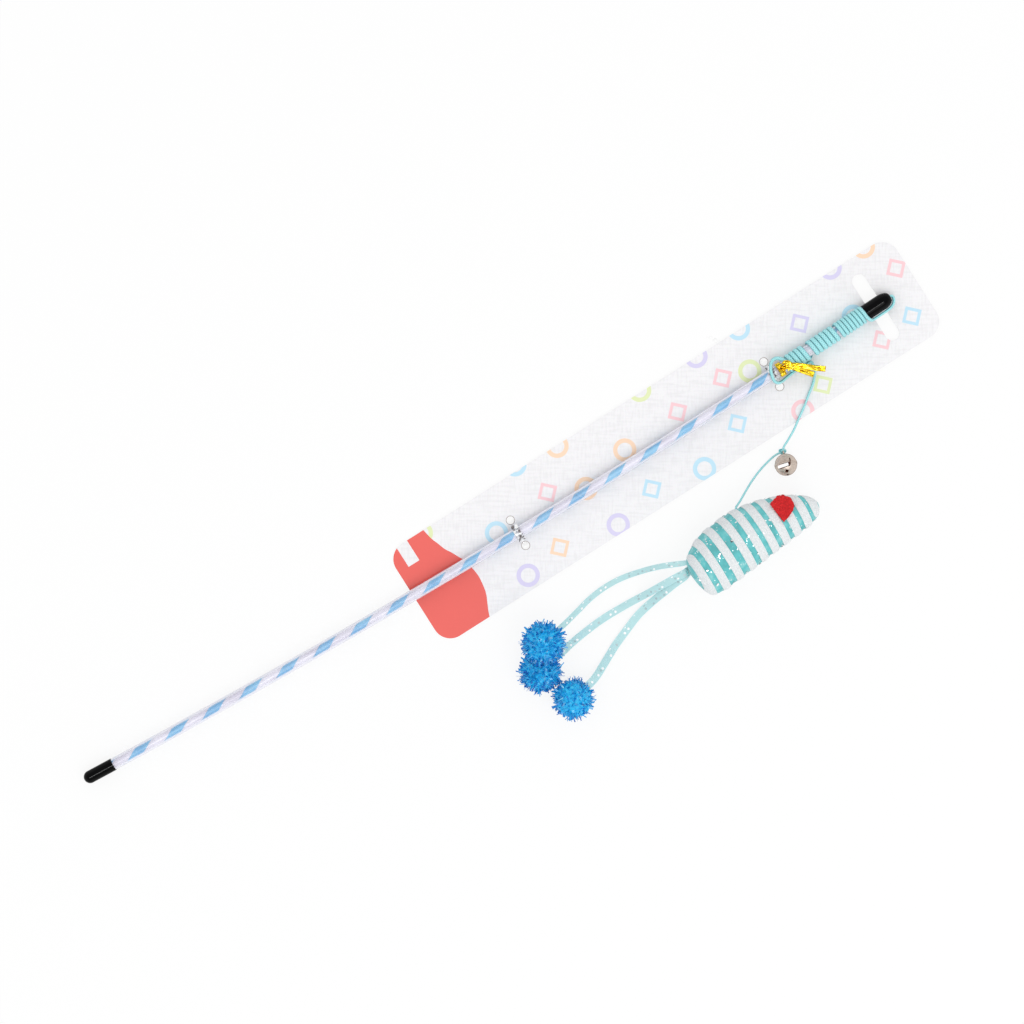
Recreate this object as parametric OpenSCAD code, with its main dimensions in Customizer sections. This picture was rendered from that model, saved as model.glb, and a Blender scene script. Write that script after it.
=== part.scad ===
// Cat teaser wand, tied to its hanging card and lying flat.
// The floor is z = 0. The wand runs along X with its tip at the far end, and Y points to the card's upper edge.
// Routes and places are measured from the tip of the wand, on the line that joins the rod's two ends.

/* [Rod] */
// Length from the butt cap's end to the tip cap's end
wand_len = 413.4; // [340:1:460]
// Outside diameter of the clear sleeve
rod_d = 5.2; // [5:0.1:5.6]
// Wall of the clear sleeve
sleeve_wall = 0.4; // [0.3:0.05:0.42]
// Diameter of the pale inner core
core_d = 3.8; // [3.4:0.1:3.8]
// Bore of the inner core
core_bore = 2.4; // [1.6:0.1:3]
// How far the rod bows off the line between its ends
rod_bow = 5; // [2:0.5:7]
// Length of one turn of the blue stripe
stripe_lead = 18.6; // [14:0.1:30]
// Width of the stripe along the rod
stripe_w = 8; // [5:0.1:10]

/* [Caps] */
// Diameter of the cap on the holding end
butt_cap_d = 5.7; // [5.7:0.05:6.4]
// Length of the cap on the holding end
butt_cap_len = 14.5; // [10:0.5:20]
// Diameter of the cap on the tip
tip_cap_d = 7.2; // [6.6:0.1:7.6]
// Length of the cap on the tip
tip_cap_len = 13.2; // [12:0.2:14]

/* [Cord] */
// Diameter of the elastic cord
cord_d = 1.35; // [1.2:0.01:1.36]
// Diameter of the cord where it is stretched below the bell
toy_cord_d = 1; // [0.9:0.05:1.1]
// Spacing of the tight turns
tight_pitch = 1.8; // [1.78:0.01:1.84]
// Spacing of the looser turns
loose_pitch = 2.2; // [2:0.01:2.24]
// Diameter of the knot above the bell
knot_d = 2.4; // [2:0.1:2.6]

/* [Bell] */
// Diameter of the bell
bell_d = 9.8; // [9:0.1:10.2]
// Thickness of the bell's sheet metal
bell_wall = 0.4; // [0.3:0.05:0.6]
// Width of the bell's slots
bell_slot_w = 1.5; // [1:0.1:1.8]
// Diameter of the loose ball in the bell
pea_d = 3; // [2.4:0.1:3.6]

/* [Mouse] */
// Length of the mouse from tail seam to nose
mouse_len = 63.4; // [56:0.5:66]
// Height of the mouse from belly to back, over its wrap
mouse_h = 27.5; // [26:0.5:28]
// Thickness of the mouse from side to side, over its wrap
mouse_w = 26; // [24:0.5:28]
// How far the white wrap stands off the cover
wrap_t = 1.2; // [0.8:0.1:1.4]
// Width of the white wrap
wrap_w = 4.2; // [3.5:0.1:4.6]
// Turns of the white wrap
wrap_turns = 9.5; // [8:0.5:10]
// Thickness of the mouse's cover
cover_t = 1; // [0.6:0.1:1.6]
// Thickness of the felt ears
ear_t = 1; // [0.8:0.1:1.4]
// Length of an ear along the head
ear_len = 9.6; // [8:0.2:10.4]

/* [Tails] */
// Width of a tail ribbon
ribbon_w = 2.8; // [2.2:0.1:3.2]
// Thickness of a tail ribbon
ribbon_t = 0.4; // [0.3:0.05:0.5]
// Diameter of a pom-pom over its strands
pom_d = 18.2; // [17:0.2:19]
// Diameter of a pom-pom's dense middle
pom_core_d = 15; // [13:0.2:15.2]

/* [Card] */
// Length of the hanging card
card_len = 262; // [240:1:280]
// Width of the hanging card
card_w = 48; // [44:0.5:48.5]
// Thickness of the board
card_t = 0.5; // [0.3:0.05:0.6]
// Radius of the card's corners
card_corner_r = 8; // [4:0.5:12]
// Angle between the card and the wand
card_tilt = 1.44; // [0:0.1:2]
// Width of the hang slot along the card
slot_w = 6.4; // [5.5:0.1:8]
// Length of the hang slot across the card
slot_len = 33.4; // [28:0.2:36]
// From the card's end to the middle of the hang slot
slot_from_end = 21.5; // [16:0.5:24]

/* [Ties] */
// Width of the clear ties
tie_w = 3.1; // [2.4:0.1:3.2]
// Thickness of the clear ties
tie_t = 0.4; // [0.3:0.05:0.45]
// Diameter of the card's tie holes
tie_hole_d = 3.5; // [3.4:0.05:4]
// From hole to hole across the rod
tie_hole_spacing = 13; // [12:0.2:15]
// Width of the gold tie's foil
gold_w = 2.3; // [1.8:0.1:2.5]
// Thickness of the gold tie
gold_t = 0.35; // [0.25:0.05:0.4]

/* [Hidden] */

// Clearances: between solids of one body, between bodies that move, and past a face that is cut through
seat_gap = 0.05;
run_gap = 0.3;
overrun = 1;
// Facets round a curve, and round the rod's long bow
round_fn = 64;
bow_fn = 4000;

// Where the card and the ties lie, from the wand's tip
card_mid = [-116.8, -3.6];
lower_tie_x = -193.9;
upper_tie_x = -61.9;
gold_tie_x = -58;

// Rod
rod_r = rod_d / 2;
sleeve_r = rod_r - sleeve_wall;
core_r = core_d / 2;
cap_fit = 0.04;
stripe_t = 0.1;
stripe_gap = 0.08;
stripe_steps = 12;
// Where the stripe faces straight up, from the wand's tip
stripe_top_x = -385.7;
bow_r = wand_len * wand_len / (8 * rod_bow) + rod_bow / 2;

// Caps
butt_cap_end = 2.4;
tip_cap_end = 5;
tip_cap_nose_r = 1.1;
tip_hole_fit = 0.08;
tip_cavity = 3;
anchor_d = 2.2;

// Winding
winding_r = rod_r + seat_gap + cord_d / 2;
winding_over = winding_r + cord_d / 2;
winding_fall = 0.1;
loose_gap = 3.3;
slanted_gap = 4.6;
// Each run of turns: how many turns, and how far one of them moves along the rod
winding_runs = [[7, tight_pitch], [1, loose_gap], [5.5, loose_pitch], [1, slanted_gap], [3.5, loose_pitch]];
winding_steps = 20;
winding_sides = 6;
cord_sides = 8;

// Heights
card_z = tie_t + seat_gap;
card_top = card_z + card_t;
wand_z = card_top + seat_gap + winding_over;

// The cord from inside the tip cap back along its side: past the tip, away from the axis, and angle round it
lead_route = [[-1.6, 0, 180], [-0.6, 0, 180], [0.6, 0, 180], [1.6, 0.4, 180], [2.2, 1.3, 180],
              [2.2, 2.4, 180], [1.5, 3.4, 180], [0.2, 4.1, 180], [-1.6, 4.4, 180], [-4, 4.4, 180],
              [-7, 4.4, 180], [-10, 4.4, 179], [-11.4, 4.4, 174], [-12.5, 4.4, 164], [-13.1, 4.35, 150],
              [-13.55, 4.28, 135], [-13.85, 4, 120], [-13.97, 3.65, 105]];
// The loose loop from the last turn, over the rod, under the gold tie and along the winding's side
loop_route = [[-54.6, -0.6, 8.2], [-55.5, 1, 7.7], [-56.7, 2.2, 7.4], [-58.3, 2.6, 7.5], [-60, 2, 8],
              [-61.4, 0.4, 8.8], [-62.4, -1.7, 9.2], [-63, -3.9, 8.8], [-63, -5.8, 7.5],
              [-61.9, -7.3, 6], [-60.1, -7.6, 4.7], [-58, -7.3, 4.1], [-56.1, -7, 3.6],
              [-54.2, -6.8, 2.9], [-52.2, -6.6, 2.2], [-50, -6.6, 2], [-47.6, -6.6, 2], [-45.6, -6.6, 2]];
gold_held = 11;
gold_slack = 0.25;
// The free cord, from its exit to the knot and from the knot to the mouse's back
cord_exit = [-44.4, -6.6, 2];
upper_route = [[-44.5, -7.3, 2], [-44.6, -9, 2], [-45.4, -11.2, 2], [-47, -13.6, 2], [-49.4, -16.2, 2],
               [-52.3, -18.4, 2], [-55.8, -20.7, 2], [-59.4, -22.8, 2], [-62, -24.8, 2],
               [-64, -26.4, 2], [-66.2, -28, 1.9], [-68.5, -29.5, 1.7], [-71, -31.1, 1.5],
               [-73.5, -32.3, 1.5]];
knot_at = [-74.6, -32.8, 1.5];
lower_route = [[-76.2, -33.5, 1.4], [-78.8, -34, 1.1], [-81.5, -34.4, 0.9], [-84, -35, 0.8],
               [-86.2, -35.6, 0.9], [-88.4, -36.3, 1.2], [-90.6, -37.1, 1.8], [-92.8, -38, 2.7],
               [-94.9, -38.9, 3.8], [-97.1, -40, 5.1], [-99.3, -41.1, 6.5], [-101.4, -42.2, 8],
               [-103.4, -43.2, 9.5], [-105, -43.9, 10.8], [-106, -44.3, 11.7]];
// The point on the mouse's back that the cord is sewn to
mouse_pin = [-106.6, -44.4, 12];

// Bell
bell_r = bell_d / 2;
bell_bearing = 248.6;
eye_d = 1.9;
eye_wire_d = 0.6;
knot_r = knot_d / 2;
eye_reach = bell_r + seat_gap + eye_d;
bell_far = eye_reach + run_gap + knot_r;
bell_z = bell_r + seat_gap;
bell_out = sqrt(bell_far * bell_far - (bell_z - knot_at.z) * (bell_z - knot_at.z));
bell_at = [knot_at.x + bell_out * cos(bell_bearing), knot_at.y + bell_out * sin(bell_bearing), bell_z];
bell_lean = acos((knot_at.z - bell_z) / bell_far);
slot_bearing = 168;
slot_share = 0.56;
cross_share = 0.78;
cross_bearing = 62;
bell_hole_d = 1.4;

// Mouse: its own X runs from the tail seam to the nose along the belly, and its Y from belly to back
mouse_at = [-136.8, -74.6];
mouse_turned = 6.3;
floor_cut = 0.5;
skin_h = mouse_h - 2 * wrap_t;
skin_w = mouse_w - 2 * wrap_t;
mouse_mid_z = mouse_w / 2 - floor_cut;
body_sides = 24;
// Stations along the body, and the heights of the back and the belly there
body_shares = [[0, 0.56, 0.34], [0.008, 0.66, 0.22], [0.03, 0.77, 0.1], [0.06, 0.84, 0.04], [0.11, 0.9, 0.01],
               [0.2, 0.98, 0], [0.3, 1, 0], [0.42, 1, 0], [0.5, 0.98, 0], [0.6, 0.92, 0], [0.7, 0.83, 0],
               [0.79, 0.72, 0], [0.88, 0.58, 0.01], [0.935, 0.47, 0.04], [0.972, 0.37, 0.09],
               [0.992, 0.29, 0.15], [1, 0.23, 0.21]];
back_shares = [for (row = body_shares) [row[0], row[1]]];
belly_shares = [for (row = body_shares) [row[0], row[2]]];
nose_in_share = 0.97;
stuffing_gap = 0.1;
wrap_base = 0.35;
// Where the wrap is after so many shares of its turns, and how far the side in view leans to the nose
wrap_places = [[0, 0.042], [0.03, 0.053], [0.13, 0.132], [0.24, 0.248], [0.345, 0.362], [0.45, 0.463],
               [0.555, 0.556], [0.66, 0.65], [0.77, 0.748], [0.88, 0.848], [0.97, 0.927], [1, 0.943]];
wrap_lean = 1.6;
wrap_steps = 20;
// The wrap's section: across it, and above its base
wrap_shares = [[0.5, 0], [0.42, 0.6], [0.16, 1], [-0.16, 1], [-0.42, 0.6], [-0.5, 0], [0, 0]];
patch_t = 0.6;
patch_d = 4;
patch_at = [-0.35, 16.9, mouse_mid_z];
patch_turn = -24;

// Ears: along the head and across it, as shares of their length, from the lower end of the sewn edge
ear_shares = [[0, 0], [0.03, 0.4], [0.04, 1.03], [0.5, 1.12], [0.76, 1], [1, 0.7], [0.92, 0.35], [0.72, 0.17],
              [0.34, 0.04]];
ear_along_share = 0.74;
ear_up_share = 0.32;
ear_fall = 11;
ear_side = 8;
ear_lift = 0.4;

// Tails
tail_root = [-140, -57.3, mouse_mid_z];
ribbon_1_route = [[-139.5, -55, 13.5], [-143.2, -52.2, 13], [-147.6, -49.8, 11.1], [-152, -48.4, 8.3],
                  [-156.4, -47.3, 5.3], [-161, -46.3, 2.7], [-165.5, -45.6, 1.5], [-169.5, -45.3, 1.5],
                  [-174, -45.3, 1.5], [-178.3, -45.7, 1.5], [-183, -46.5, 1.5], [-187.2, -47.6, 1.9],
                  [-191.5, -48.6, 4.2], [-196, -49.6, 7.7], [-199.8, -50.3, 10.7], [-202.9, -50.8, 13.3]];
ribbon_2_route = [[-140.6, -57.5, 12.4], [-144, -57.3, 12], [-149, -57.2, 10.1], [-154, -57.2, 7.2],
                  [-158.6, -57.2, 4.4], [-163.5, -57, 2], [-168.5, -56.8, 1.5], [-173.5, -56.7, 1.5],
                  [-178.4, -56.7, 1.5], [-183, -56.9, 1.5], [-187.4, -57.3, 1.5], [-191.6, -57.8, 1.5],
                  [-196, -58.4, 2], [-200.5, -59.2, 3.8], [-204.2, -60, 5.5], [-209.4, -60.9, 8]];
ribbon_3_route = [[-140.8, -58.8, 11.2], [-143.8, -59.1, 10.8], [-148, -59.6, 9], [-152, -60.3, 6.7],
                  [-156.5, -61, 4], [-161, -61.9, 1.8], [-165.2, -62.8, 1.5], [-169.6, -64.2, 1.5],
                  [-174, -66, 1.5], [-178.4, -67.8, 1.5], [-182.8, -69.7, 1.5], [-187.2, -72, 1.5],
                  [-191.6, -74.3, 1.9], [-196, -76.5, 4.2], [-199.6, -77.8, 6.2], [-203.2, -78.5, 8]];
pom_low_z = pom_d / 2 - floor_cut;
pom_rise = 9.4;
pom_at = [[-209.2, -51.8, pom_low_z + pom_rise], [-216.7, -62.3, pom_low_z], [-210.6, -79.9, pom_low_z]];
pom_rows = 10;
pom_columns = 15;
pom_seed = 7;
pom_short_share = 0.82;

// Ties
tie_half = tie_hole_spacing / 2;
tie_leg_top = 0.4;
tail_w = 2;
tail_len = 29;
tail_bearing = 121;
gold_tail_1 = [[-58, -1.6, 8.1], [-56.6, -2.2, 9], [-55, -3.1, 9.55], [-53, -4.8, 9.6], [-50.4, -7.8, 8.9],
               [-46.7, -12.2, 7.6]];
gold_tail_2 = [[-58, -3.6, 7.8], [-56, -3.2, 9.4], [-53.4, -3.7, 10.1], [-49.6, -6.2, 9.9], [-45, -9.8, 8.8],
               [-41, -12.7, 7.9]];

// Vectors and lists
function unit(v) = v / norm(v);
function along(p, i) = unit(p[min(i + 1, len(p) - 1)] - p[max(i - 1, 0)]);
function square_to(v, t) = unit(v - (v * t) * t);
function sum_to(v, n) = n <= 0 ? 0 : v[n - 1] + sum_to(v, n - 1);
function on_floor(p) = [p.x, p.y, max(p.z, 0)];
function flat(lists) = [for (l = lists, p = l) p];

// The bowed rod: its sideways place and its slope at x, and a point round its axis
function bow_angle(x) = asin((x + wand_len / 2) / bow_r);
function wand_y(x) = bow_r - rod_bow - bow_r * cos(bow_angle(x));
function round_wand(x, r, a) = let (b = bow_angle(x))
    [x - r * cos(a) * sin(b), wand_y(x) + r * cos(a) * cos(b), wand_z + r * sin(a)];

// Rings of a tube and of a flat strip along a route, the frame carried on from ring to ring
function sides_of(p, start) = [for (i = 0, u = square_to(start, along(p, 0)); i < len(p);
    i = i + 1, u = i < len(p) ? square_to(u, along(p, i)) : u) u];
function tube_rings(p, r, n, start = [0, 0, 1]) = let (s = sides_of(p, start)) [for (i = [0 : len(p) - 1])
    let (t = along(p, i), v = cross(t, s[i]))
    [for (k = [0 : n - 1]) p[i] + r * (cos(360 * k / n) * s[i] + sin(360 * k / n) * v)]];
function strip_rings(p, w, t) = [for (i = [0 : len(p) - 1])
    let (d = along(p, i), s = square_to(cross([0, 0, 1], d), d), u = cross(d, s))
    [p[i] + (s * w + u * t) / 2, p[i] + (u * t - s * w) / 2, p[i] - (s * w + u * t) / 2,
     p[i] + (s * w - u * t) / 2]];

// A closed skin over rings that run round the way they follow each other
module skin(rings) {
    n = len(rings[0]);
    last = (len(rings) - 1) * n;
    sides = [for (i = [0 : len(rings) - 2], k = [0 : n - 1])
        let (a = i * n + k, b = i * n + (k + 1) % n) each [[a, a + n, b + n], [a, b + n, b]]];
    near = [for (k = [1 : n - 2]) [0, k, k + 1]];
    far = [for (k = [1 : n - 2]) [last, last + k + 1, last + k]];
    polyhedron(points = flat(rings), faces = concat(sides, near, far));
}

module tube(route, r, n) skin(tube_rings(route, r, n));

// The winding: how many turns have passed and how far they have moved, run by run
run_turns = [for (run = winding_runs) run[0]];
run_moves = [for (run = winding_runs) run[0] * run[1]];
turns_moved = [for (i = [0 : len(winding_runs)]) [sum_to(run_turns, i), sum_to(run_moves, i)]];
all_turns = sum_to(run_turns, len(run_turns));
winding_start = -tip_cap_len - cord_d / 2 - winding_fall;
winding_rings = round(all_turns * winding_steps);
winding_points = [for (i = [0 : winding_rings]) let (t = i / winding_steps)
    round_wand(winding_start - lookup(t, turns_moved), winding_r, 90 - 360 * t)];
lead_points = [for (p = lead_route) round_wand(p[0], p[1], p[2])];
cord_points = concat(lead_points, winding_points, loop_route);
least_gap = min([for (i = [0 : winding_rings - winding_steps], k = [-2 : 2])
    let (j = min(i + winding_steps + k, winding_rings)) norm(winding_points[i] - winding_points[j])]) - cord_d;
echo(least_gap_of_winding = least_gap, length_of_wound_cord = sum_to(
    [for (i = [1 : len(cord_points) - 1]) norm(cord_points[i] - cord_points[i - 1])], len(cord_points) - 1));

// The mouse's surface: a share along it, an angle round it, and a height over the cover
function body_mid(s) = wrap_t + skin_h * (lookup(s, back_shares) + lookup(s, belly_shares)) / 2;
function body_half(s) = skin_h * (lookup(s, back_shares) - lookup(s, belly_shares)) / 2;
function body_point(s, a, out) = let (h = max(body_half(s) + out, seat_gap))
    [s * mouse_len, body_mid(s) + h * cos(a),
     mouse_mid_z + max(body_half(s) * skin_w / skin_h + out, seat_gap) * sin(a)];
function body_ring(s, out, along_share = 1) = [for (k = [0 : body_sides - 1])
    let (p = body_point(s, 360 * k / body_sides, out)) [p.x * along_share, p.y, p.z]];
function wrap_lean_at(s, a) = wrap_lean / mouse_len * sin(a) * min(1, lookup(s, back_shares));
function wrap_ring(t) = let (s = lookup(t / wrap_turns, wrap_places) + wrap_lean_at(0.5, 360 * t))
    [for (q = wrap_shares) on_floor(body_point(s + q[0] * wrap_w / mouse_len, 360 * t,
        wrap_base + q[1] * (wrap_t - wrap_base)))];
wrap_rings = [for (i = [0 : round(wrap_turns * wrap_steps)]) wrap_ring(i / wrap_steps)];
wrap_gap = min([for (t = [0 : 0.25 : wrap_turns - 1]) (lookup((t + 1) / wrap_turns, wrap_places)
    - lookup(t / wrap_turns, wrap_places)) * mouse_len]) - wrap_w;
echo(least_gap_of_wrap = wrap_gap);

// A strand's reach: shorter where a neighbouring pom-pom or the ribbon's end presses on it
function stops_of(me, tied) = concat([for (other = pom_at) if (norm(other - me) > 0)
    [other - me, norm(other - me) / 2 - run_gap / 2]], [[tied - me, norm(tied - me) - seat_gap]]);
function strand_reach(stops, d, r) = min([r, for (s = stops) let (c = d * unit(s[0])) if (c > 0) s[1] / c]);

// The part's own origin from the wand's tip: the middle of its outline, between the butt end and the card's
// end, and between the tie's tail and the lowest pom-pom
card_reach = card_corner_r + (card_len / 2 - card_corner_r) * cos(card_tilt)
    + (card_w / 2 - card_corner_r) * sin(card_tilt);
tail_reach = wand_y(upper_tie_x) + tie_half - tail_w / 2 + tail_len * sin(tail_bearing)
    - tail_w / 2 * cos(tail_bearing);
origin_x = (card_mid.x + card_reach - wand_len) / 2;
origin_y = (tail_reach + pom_at[2].y - pom_d / 2) / 2;

// Places
module from_tip() translate([-origin_x, -origin_y, 0]) children();
module on_rod(x) from_tip() translate([x, wand_y(x), wand_z]) rotate([0, 0, bow_angle(x)]) children();
module along_bow(from_x, to_x) from_tip()
    translate([-wand_len / 2, bow_r - rod_bow, wand_z]) rotate([0, 0, bow_angle(from_x) - 90])
        rotate_extrude(angle = bow_angle(to_x) - bow_angle(from_x), $fn = bow_fn)
            translate([bow_r, 0]) children();
module at_mouse() from_tip() translate([mouse_at.x, mouse_at.y, 0]) rotate([0, 0, mouse_turned]) children();
module at_bell() from_tip() translate(bell_at) children();
module bell_leans() at_bell() rotate([0, bell_lean, bell_bearing + 180]) children();
module turned(points) rotate([0, 90, 0]) rotate_extrude($fn = round_fn) polygon(points);

tube_from = butt_cap_end + run_gap - wand_len;
tube_to = -tip_cap_end - tip_cavity;

module ring(outer, inner) difference() {
    circle(r = outer, $fn = round_fn);
    circle(r = inner, $fn = round_fn);
}

module rod_sleeve() color("aliceblue") along_bow(tube_from, tube_to) ring(rod_r, sleeve_r);

module rod_core() color("lavender") along_bow(tube_from, tube_to) ring(core_r, core_bore / 2);

module rod_stripe() {
    low = core_r + stripe_gap;
    run = tube_to - tube_from - stripe_w;
    count = floor(run / stripe_lead * stripe_steps);
    color("deepskyblue") from_tip() skin([for (i = [0 : count])
        let (x = tube_from + stripe_w / 2 + i * stripe_lead / stripe_steps,
             a = 90 - 360 * (x - stripe_top_x) / stripe_lead, h = stripe_w / 2)
        [round_wand(x - h, low, a), round_wand(x - h, low + stripe_t, a), round_wand(x + h, low + stripe_t, a),
         round_wand(x + h, low, a)]]);
}

// A cap's half outline, from the open end at 0 to its closed end: straight wall, then a rounded nose
module butt_cap() {
    r = butt_cap_d / 2;
    color("black") on_rod(butt_cap_len - wand_len) rotate([0, -90, 0]) difference() {
        union() {
            cylinder(h = butt_cap_len - r, r = r, $fn = round_fn);
            translate([0, 0, butt_cap_len - r]) sphere(r = r, $fn = round_fn);
        }
        translate([0, 0, -overrun])
            cylinder(h = butt_cap_len - butt_cap_end + overrun, r = rod_r + cap_fit, $fn = round_fn);
    }
}

module tip_cap() {
    r = tip_cap_d / 2;
    straight = tip_cap_len - tip_cap_end;
    steps = 8;
    nose = [for (i = [0 : steps]) let (a = 90 * i / steps)
        [tip_cap_nose_r + (r - tip_cap_nose_r) * cos(a), straight + tip_cap_end * sin(a)]];
    color("black") on_rod(-tip_cap_len) rotate([0, 90, 0]) difference() {
        rotate_extrude($fn = round_fn) polygon(concat([[0, 0]], [[r, 0]], nose, [[0, tip_cap_len]]));
        translate([0, 0, -overrun])
            cylinder(h = straight + overrun, r = rod_r + cap_fit, $fn = round_fn);
        translate([0, 0, straight - overrun])
            cylinder(h = tip_cap_end + 2 * overrun, r = cord_d / 2 + tip_hole_fit, $fn = round_fn);
    }
}

module anchor_knot() color("mediumturquoise")
    on_rod(-tip_cap_end - tip_cavity / 2) sphere(r = anchor_d / 2, $fn = round_fn);

module cord_winding() color("mediumturquoise") from_tip() tube(cord_points, cord_d / 2, winding_sides);

module gold_ring() {
    held = loop_route[gold_held];
    side = [held.y - wand_y(gold_tie_x), held.z - wand_z];
    module shape(out) hull() {
        circle(r = rod_r + seat_gap + out, $fn = round_fn / 2);
        translate(side) circle(r = cord_d / 2 + gold_slack + out, $fn = round_fn / 2);
    }
    on_rod(gold_tie_x) rotate([90, 0, 90]) linear_extrude(gold_w, center = true) difference() {
        shape(gold_t);
        shape(0);
    }
}

module gold_tie() color("gold") {
    gold_ring();
    from_tip() skin(strip_rings(gold_tail_1, gold_w, gold_t));
    from_tip() skin(strip_rings(gold_tail_2, gold_w, gold_t));
}

// A clear tie: flat behind the card, up through two holes and over the rod
module tie_band(x) {
    lift = rod_r + seat_gap;
    rim = card_top + tie_leg_top - wand_z;
    low = tie_t - wand_z;
    foot = tie_half - tie_t / 2;
    far = norm([foot, rim]);
    lean = atan2(rim, foot) + acos(lift / far);
    steps = 12;
    arch = [for (i = [0 : steps]) let (a = lean + (180 - 2 * lean) * i / steps) lift * [cos(a), sin(a)]];
    inner = concat([[-foot, rim], [-foot, low], [foot, low], [foot, rim]], arch);
    on_rod(x) rotate([90, 0, 90]) linear_extrude(tie_w, center = true) difference() {
        offset(delta = tie_t) polygon(inner);
        polygon(inner);
    }
}

module tie_tail() on_rod(upper_tie_x) translate([0, tie_half - tie_w / 2, -wand_z])
    rotate([0, 0, tail_bearing]) translate([0, -tail_w / 2, 0]) cube([tail_len, tail_w, tie_t]);

module lower_tie() color("whitesmoke") tie_band(lower_tie_x);

module upper_tie() color("whitesmoke") {
    tie_band(upper_tie_x);
    tie_tail();
}

module card_outline() {
    inner_l = card_len - 2 * card_corner_r;
    inner_w = card_w - 2 * card_corner_r;
    square([card_len, inner_w], center = true);
    square([inner_l, card_w], center = true);
    for (i = [-1, 1], j = [-1, 1]) translate([i * inner_l / 2, j * inner_w / 2])
        circle(r = card_corner_r, $fn = round_fn);
}

module hang_slot() translate([card_len / 2 - slot_from_end, 0]) {
    run = slot_len - slot_w;
    square([slot_w, run], center = true);
    for (j = [-1, 1]) translate([0, j * run / 2]) circle(r = slot_w / 2, $fn = round_fn);
}

module tie_holes(x) for (j = [-1, 1]) on_rod(x) translate([0, j * tie_half, -wand_z])
    cylinder(h = card_top + overrun, r = tie_hole_d / 2, $fn = round_fn);

module hang_card() color("whitesmoke") difference() {
    from_tip() translate([card_mid.x, card_mid.y, card_z]) rotate([0, 0, card_tilt])
        linear_extrude(card_t) difference() {
            card_outline();
            hang_slot();
        }
    tie_holes(lower_tie_x);
    tie_holes(upper_tie_x);
}

module upper_cord() color("mediumturquoise") from_tip() tube(upper_route, cord_d / 2, cord_sides);

module cord_knot() color("mediumturquoise") from_tip() translate(knot_at) sphere(r = knot_r, $fn = round_fn);

module lower_cord() color("mediumturquoise") from_tip() tube(lower_route, toy_cord_d / 2, cord_sides);

// Half of the bell's shell, on the far side of its own middle plane from the eye or on the near side
module half_bell(way) difference() {
    sphere(r = bell_r, $fn = round_fn);
    sphere(r = bell_r - bell_wall, $fn = round_fn);
    translate([0, 0, way * (bell_r + overrun - seat_gap / 2)]) cube(2 * (bell_r + overrun), center = true);
}

module bell_slot(bearing, lean, length) rotate([0, lean, bearing])
    translate([0, 0, bell_r - bell_wall]) linear_extrude(2 * bell_wall + overrun, center = true) {
        square([length - bell_slot_w, bell_slot_w], center = true);
        for (i = [-1, 1]) translate([i * (length - bell_slot_w) / 2, 0]) circle(r = bell_slot_w / 2, $fn = round_fn);
    }

module bell_crown() color("silver") bell_leans() half_bell(-1);

module bell_base() color("silver") difference() {
    bell_leans() half_bell(1);
    at_bell() bell_slot(slot_bearing, asin(slot_share / 2), slot_share * bell_d);
    at_bell() bell_slot(cross_bearing + 180, asin(slot_share / 2), cross_share * bell_r);
    bell_leans() translate([0, 0, -bell_d]) cylinder(h = bell_d, r = bell_hole_d / 2, $fn = round_fn);
}

module bell_eye() color("silver") bell_leans() translate([0, 0, eye_reach - eye_d / 2])
    rotate([90, 0, 0]) rotate_extrude($fn = round_fn) translate([(eye_d - eye_wire_d) / 2, 0])
        circle(r = eye_wire_d / 2, $fn = round_fn);

module bell_pea() color("gray") at_bell() translate([0, 0, bell_wall + pea_d / 2 + run_gap - bell_r])
    sphere(r = pea_d / 2, $fn = round_fn);

inner_stations = [for (i = [len(body_shares) - 2 : -1 : 0]) body_shares[i][0]];
outer_stations = [for (row = body_shares) row[0]];

module mouse_skin() color("paleturquoise") at_mouse() skin(concat(
    [for (s = inner_stations) body_ring(s, -cover_t, nose_in_share)],
    [for (s = outer_stations) body_ring(s, 0)]));

module mouse_stuffing() color("white") at_mouse() skin(
    [for (i = [1 : len(body_shares) - 2]) body_ring(body_shares[i][0], -cover_t - stuffing_gap, nose_in_share)]);

module mouse_wrap() color("white") at_mouse() skin(wrap_rings);

module tail_patch() color("mediumturquoise") at_mouse()
    translate(patch_at) rotate([0, -90, patch_turn]) cylinder(h = patch_t, r = patch_d / 2, $fn = round_fn);

module ear() translate([ear_along_share * mouse_len, ear_up_share * mouse_h,
        body_half(ear_along_share) * skin_w / skin_h + wrap_t + ear_lift])
    rotate([-ear_side, ear_fall, 0]) linear_extrude(ear_t) polygon(ear_len * ear_shares);

module ear_upper() color("crimson") at_mouse() translate([0, 0, mouse_mid_z]) ear();

module ear_lower() color("crimson") at_mouse() translate([0, 0, mouse_mid_z]) mirror([0, 0, 1]) ear();

module ribbon(route) color("paleturquoise") from_tip() skin(strip_rings(route, ribbon_w, ribbon_t));

module tail_ribbon_1() ribbon(ribbon_1_route);
module tail_ribbon_2() ribbon(ribbon_2_route);
module tail_ribbon_3() ribbon(ribbon_3_route);

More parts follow.
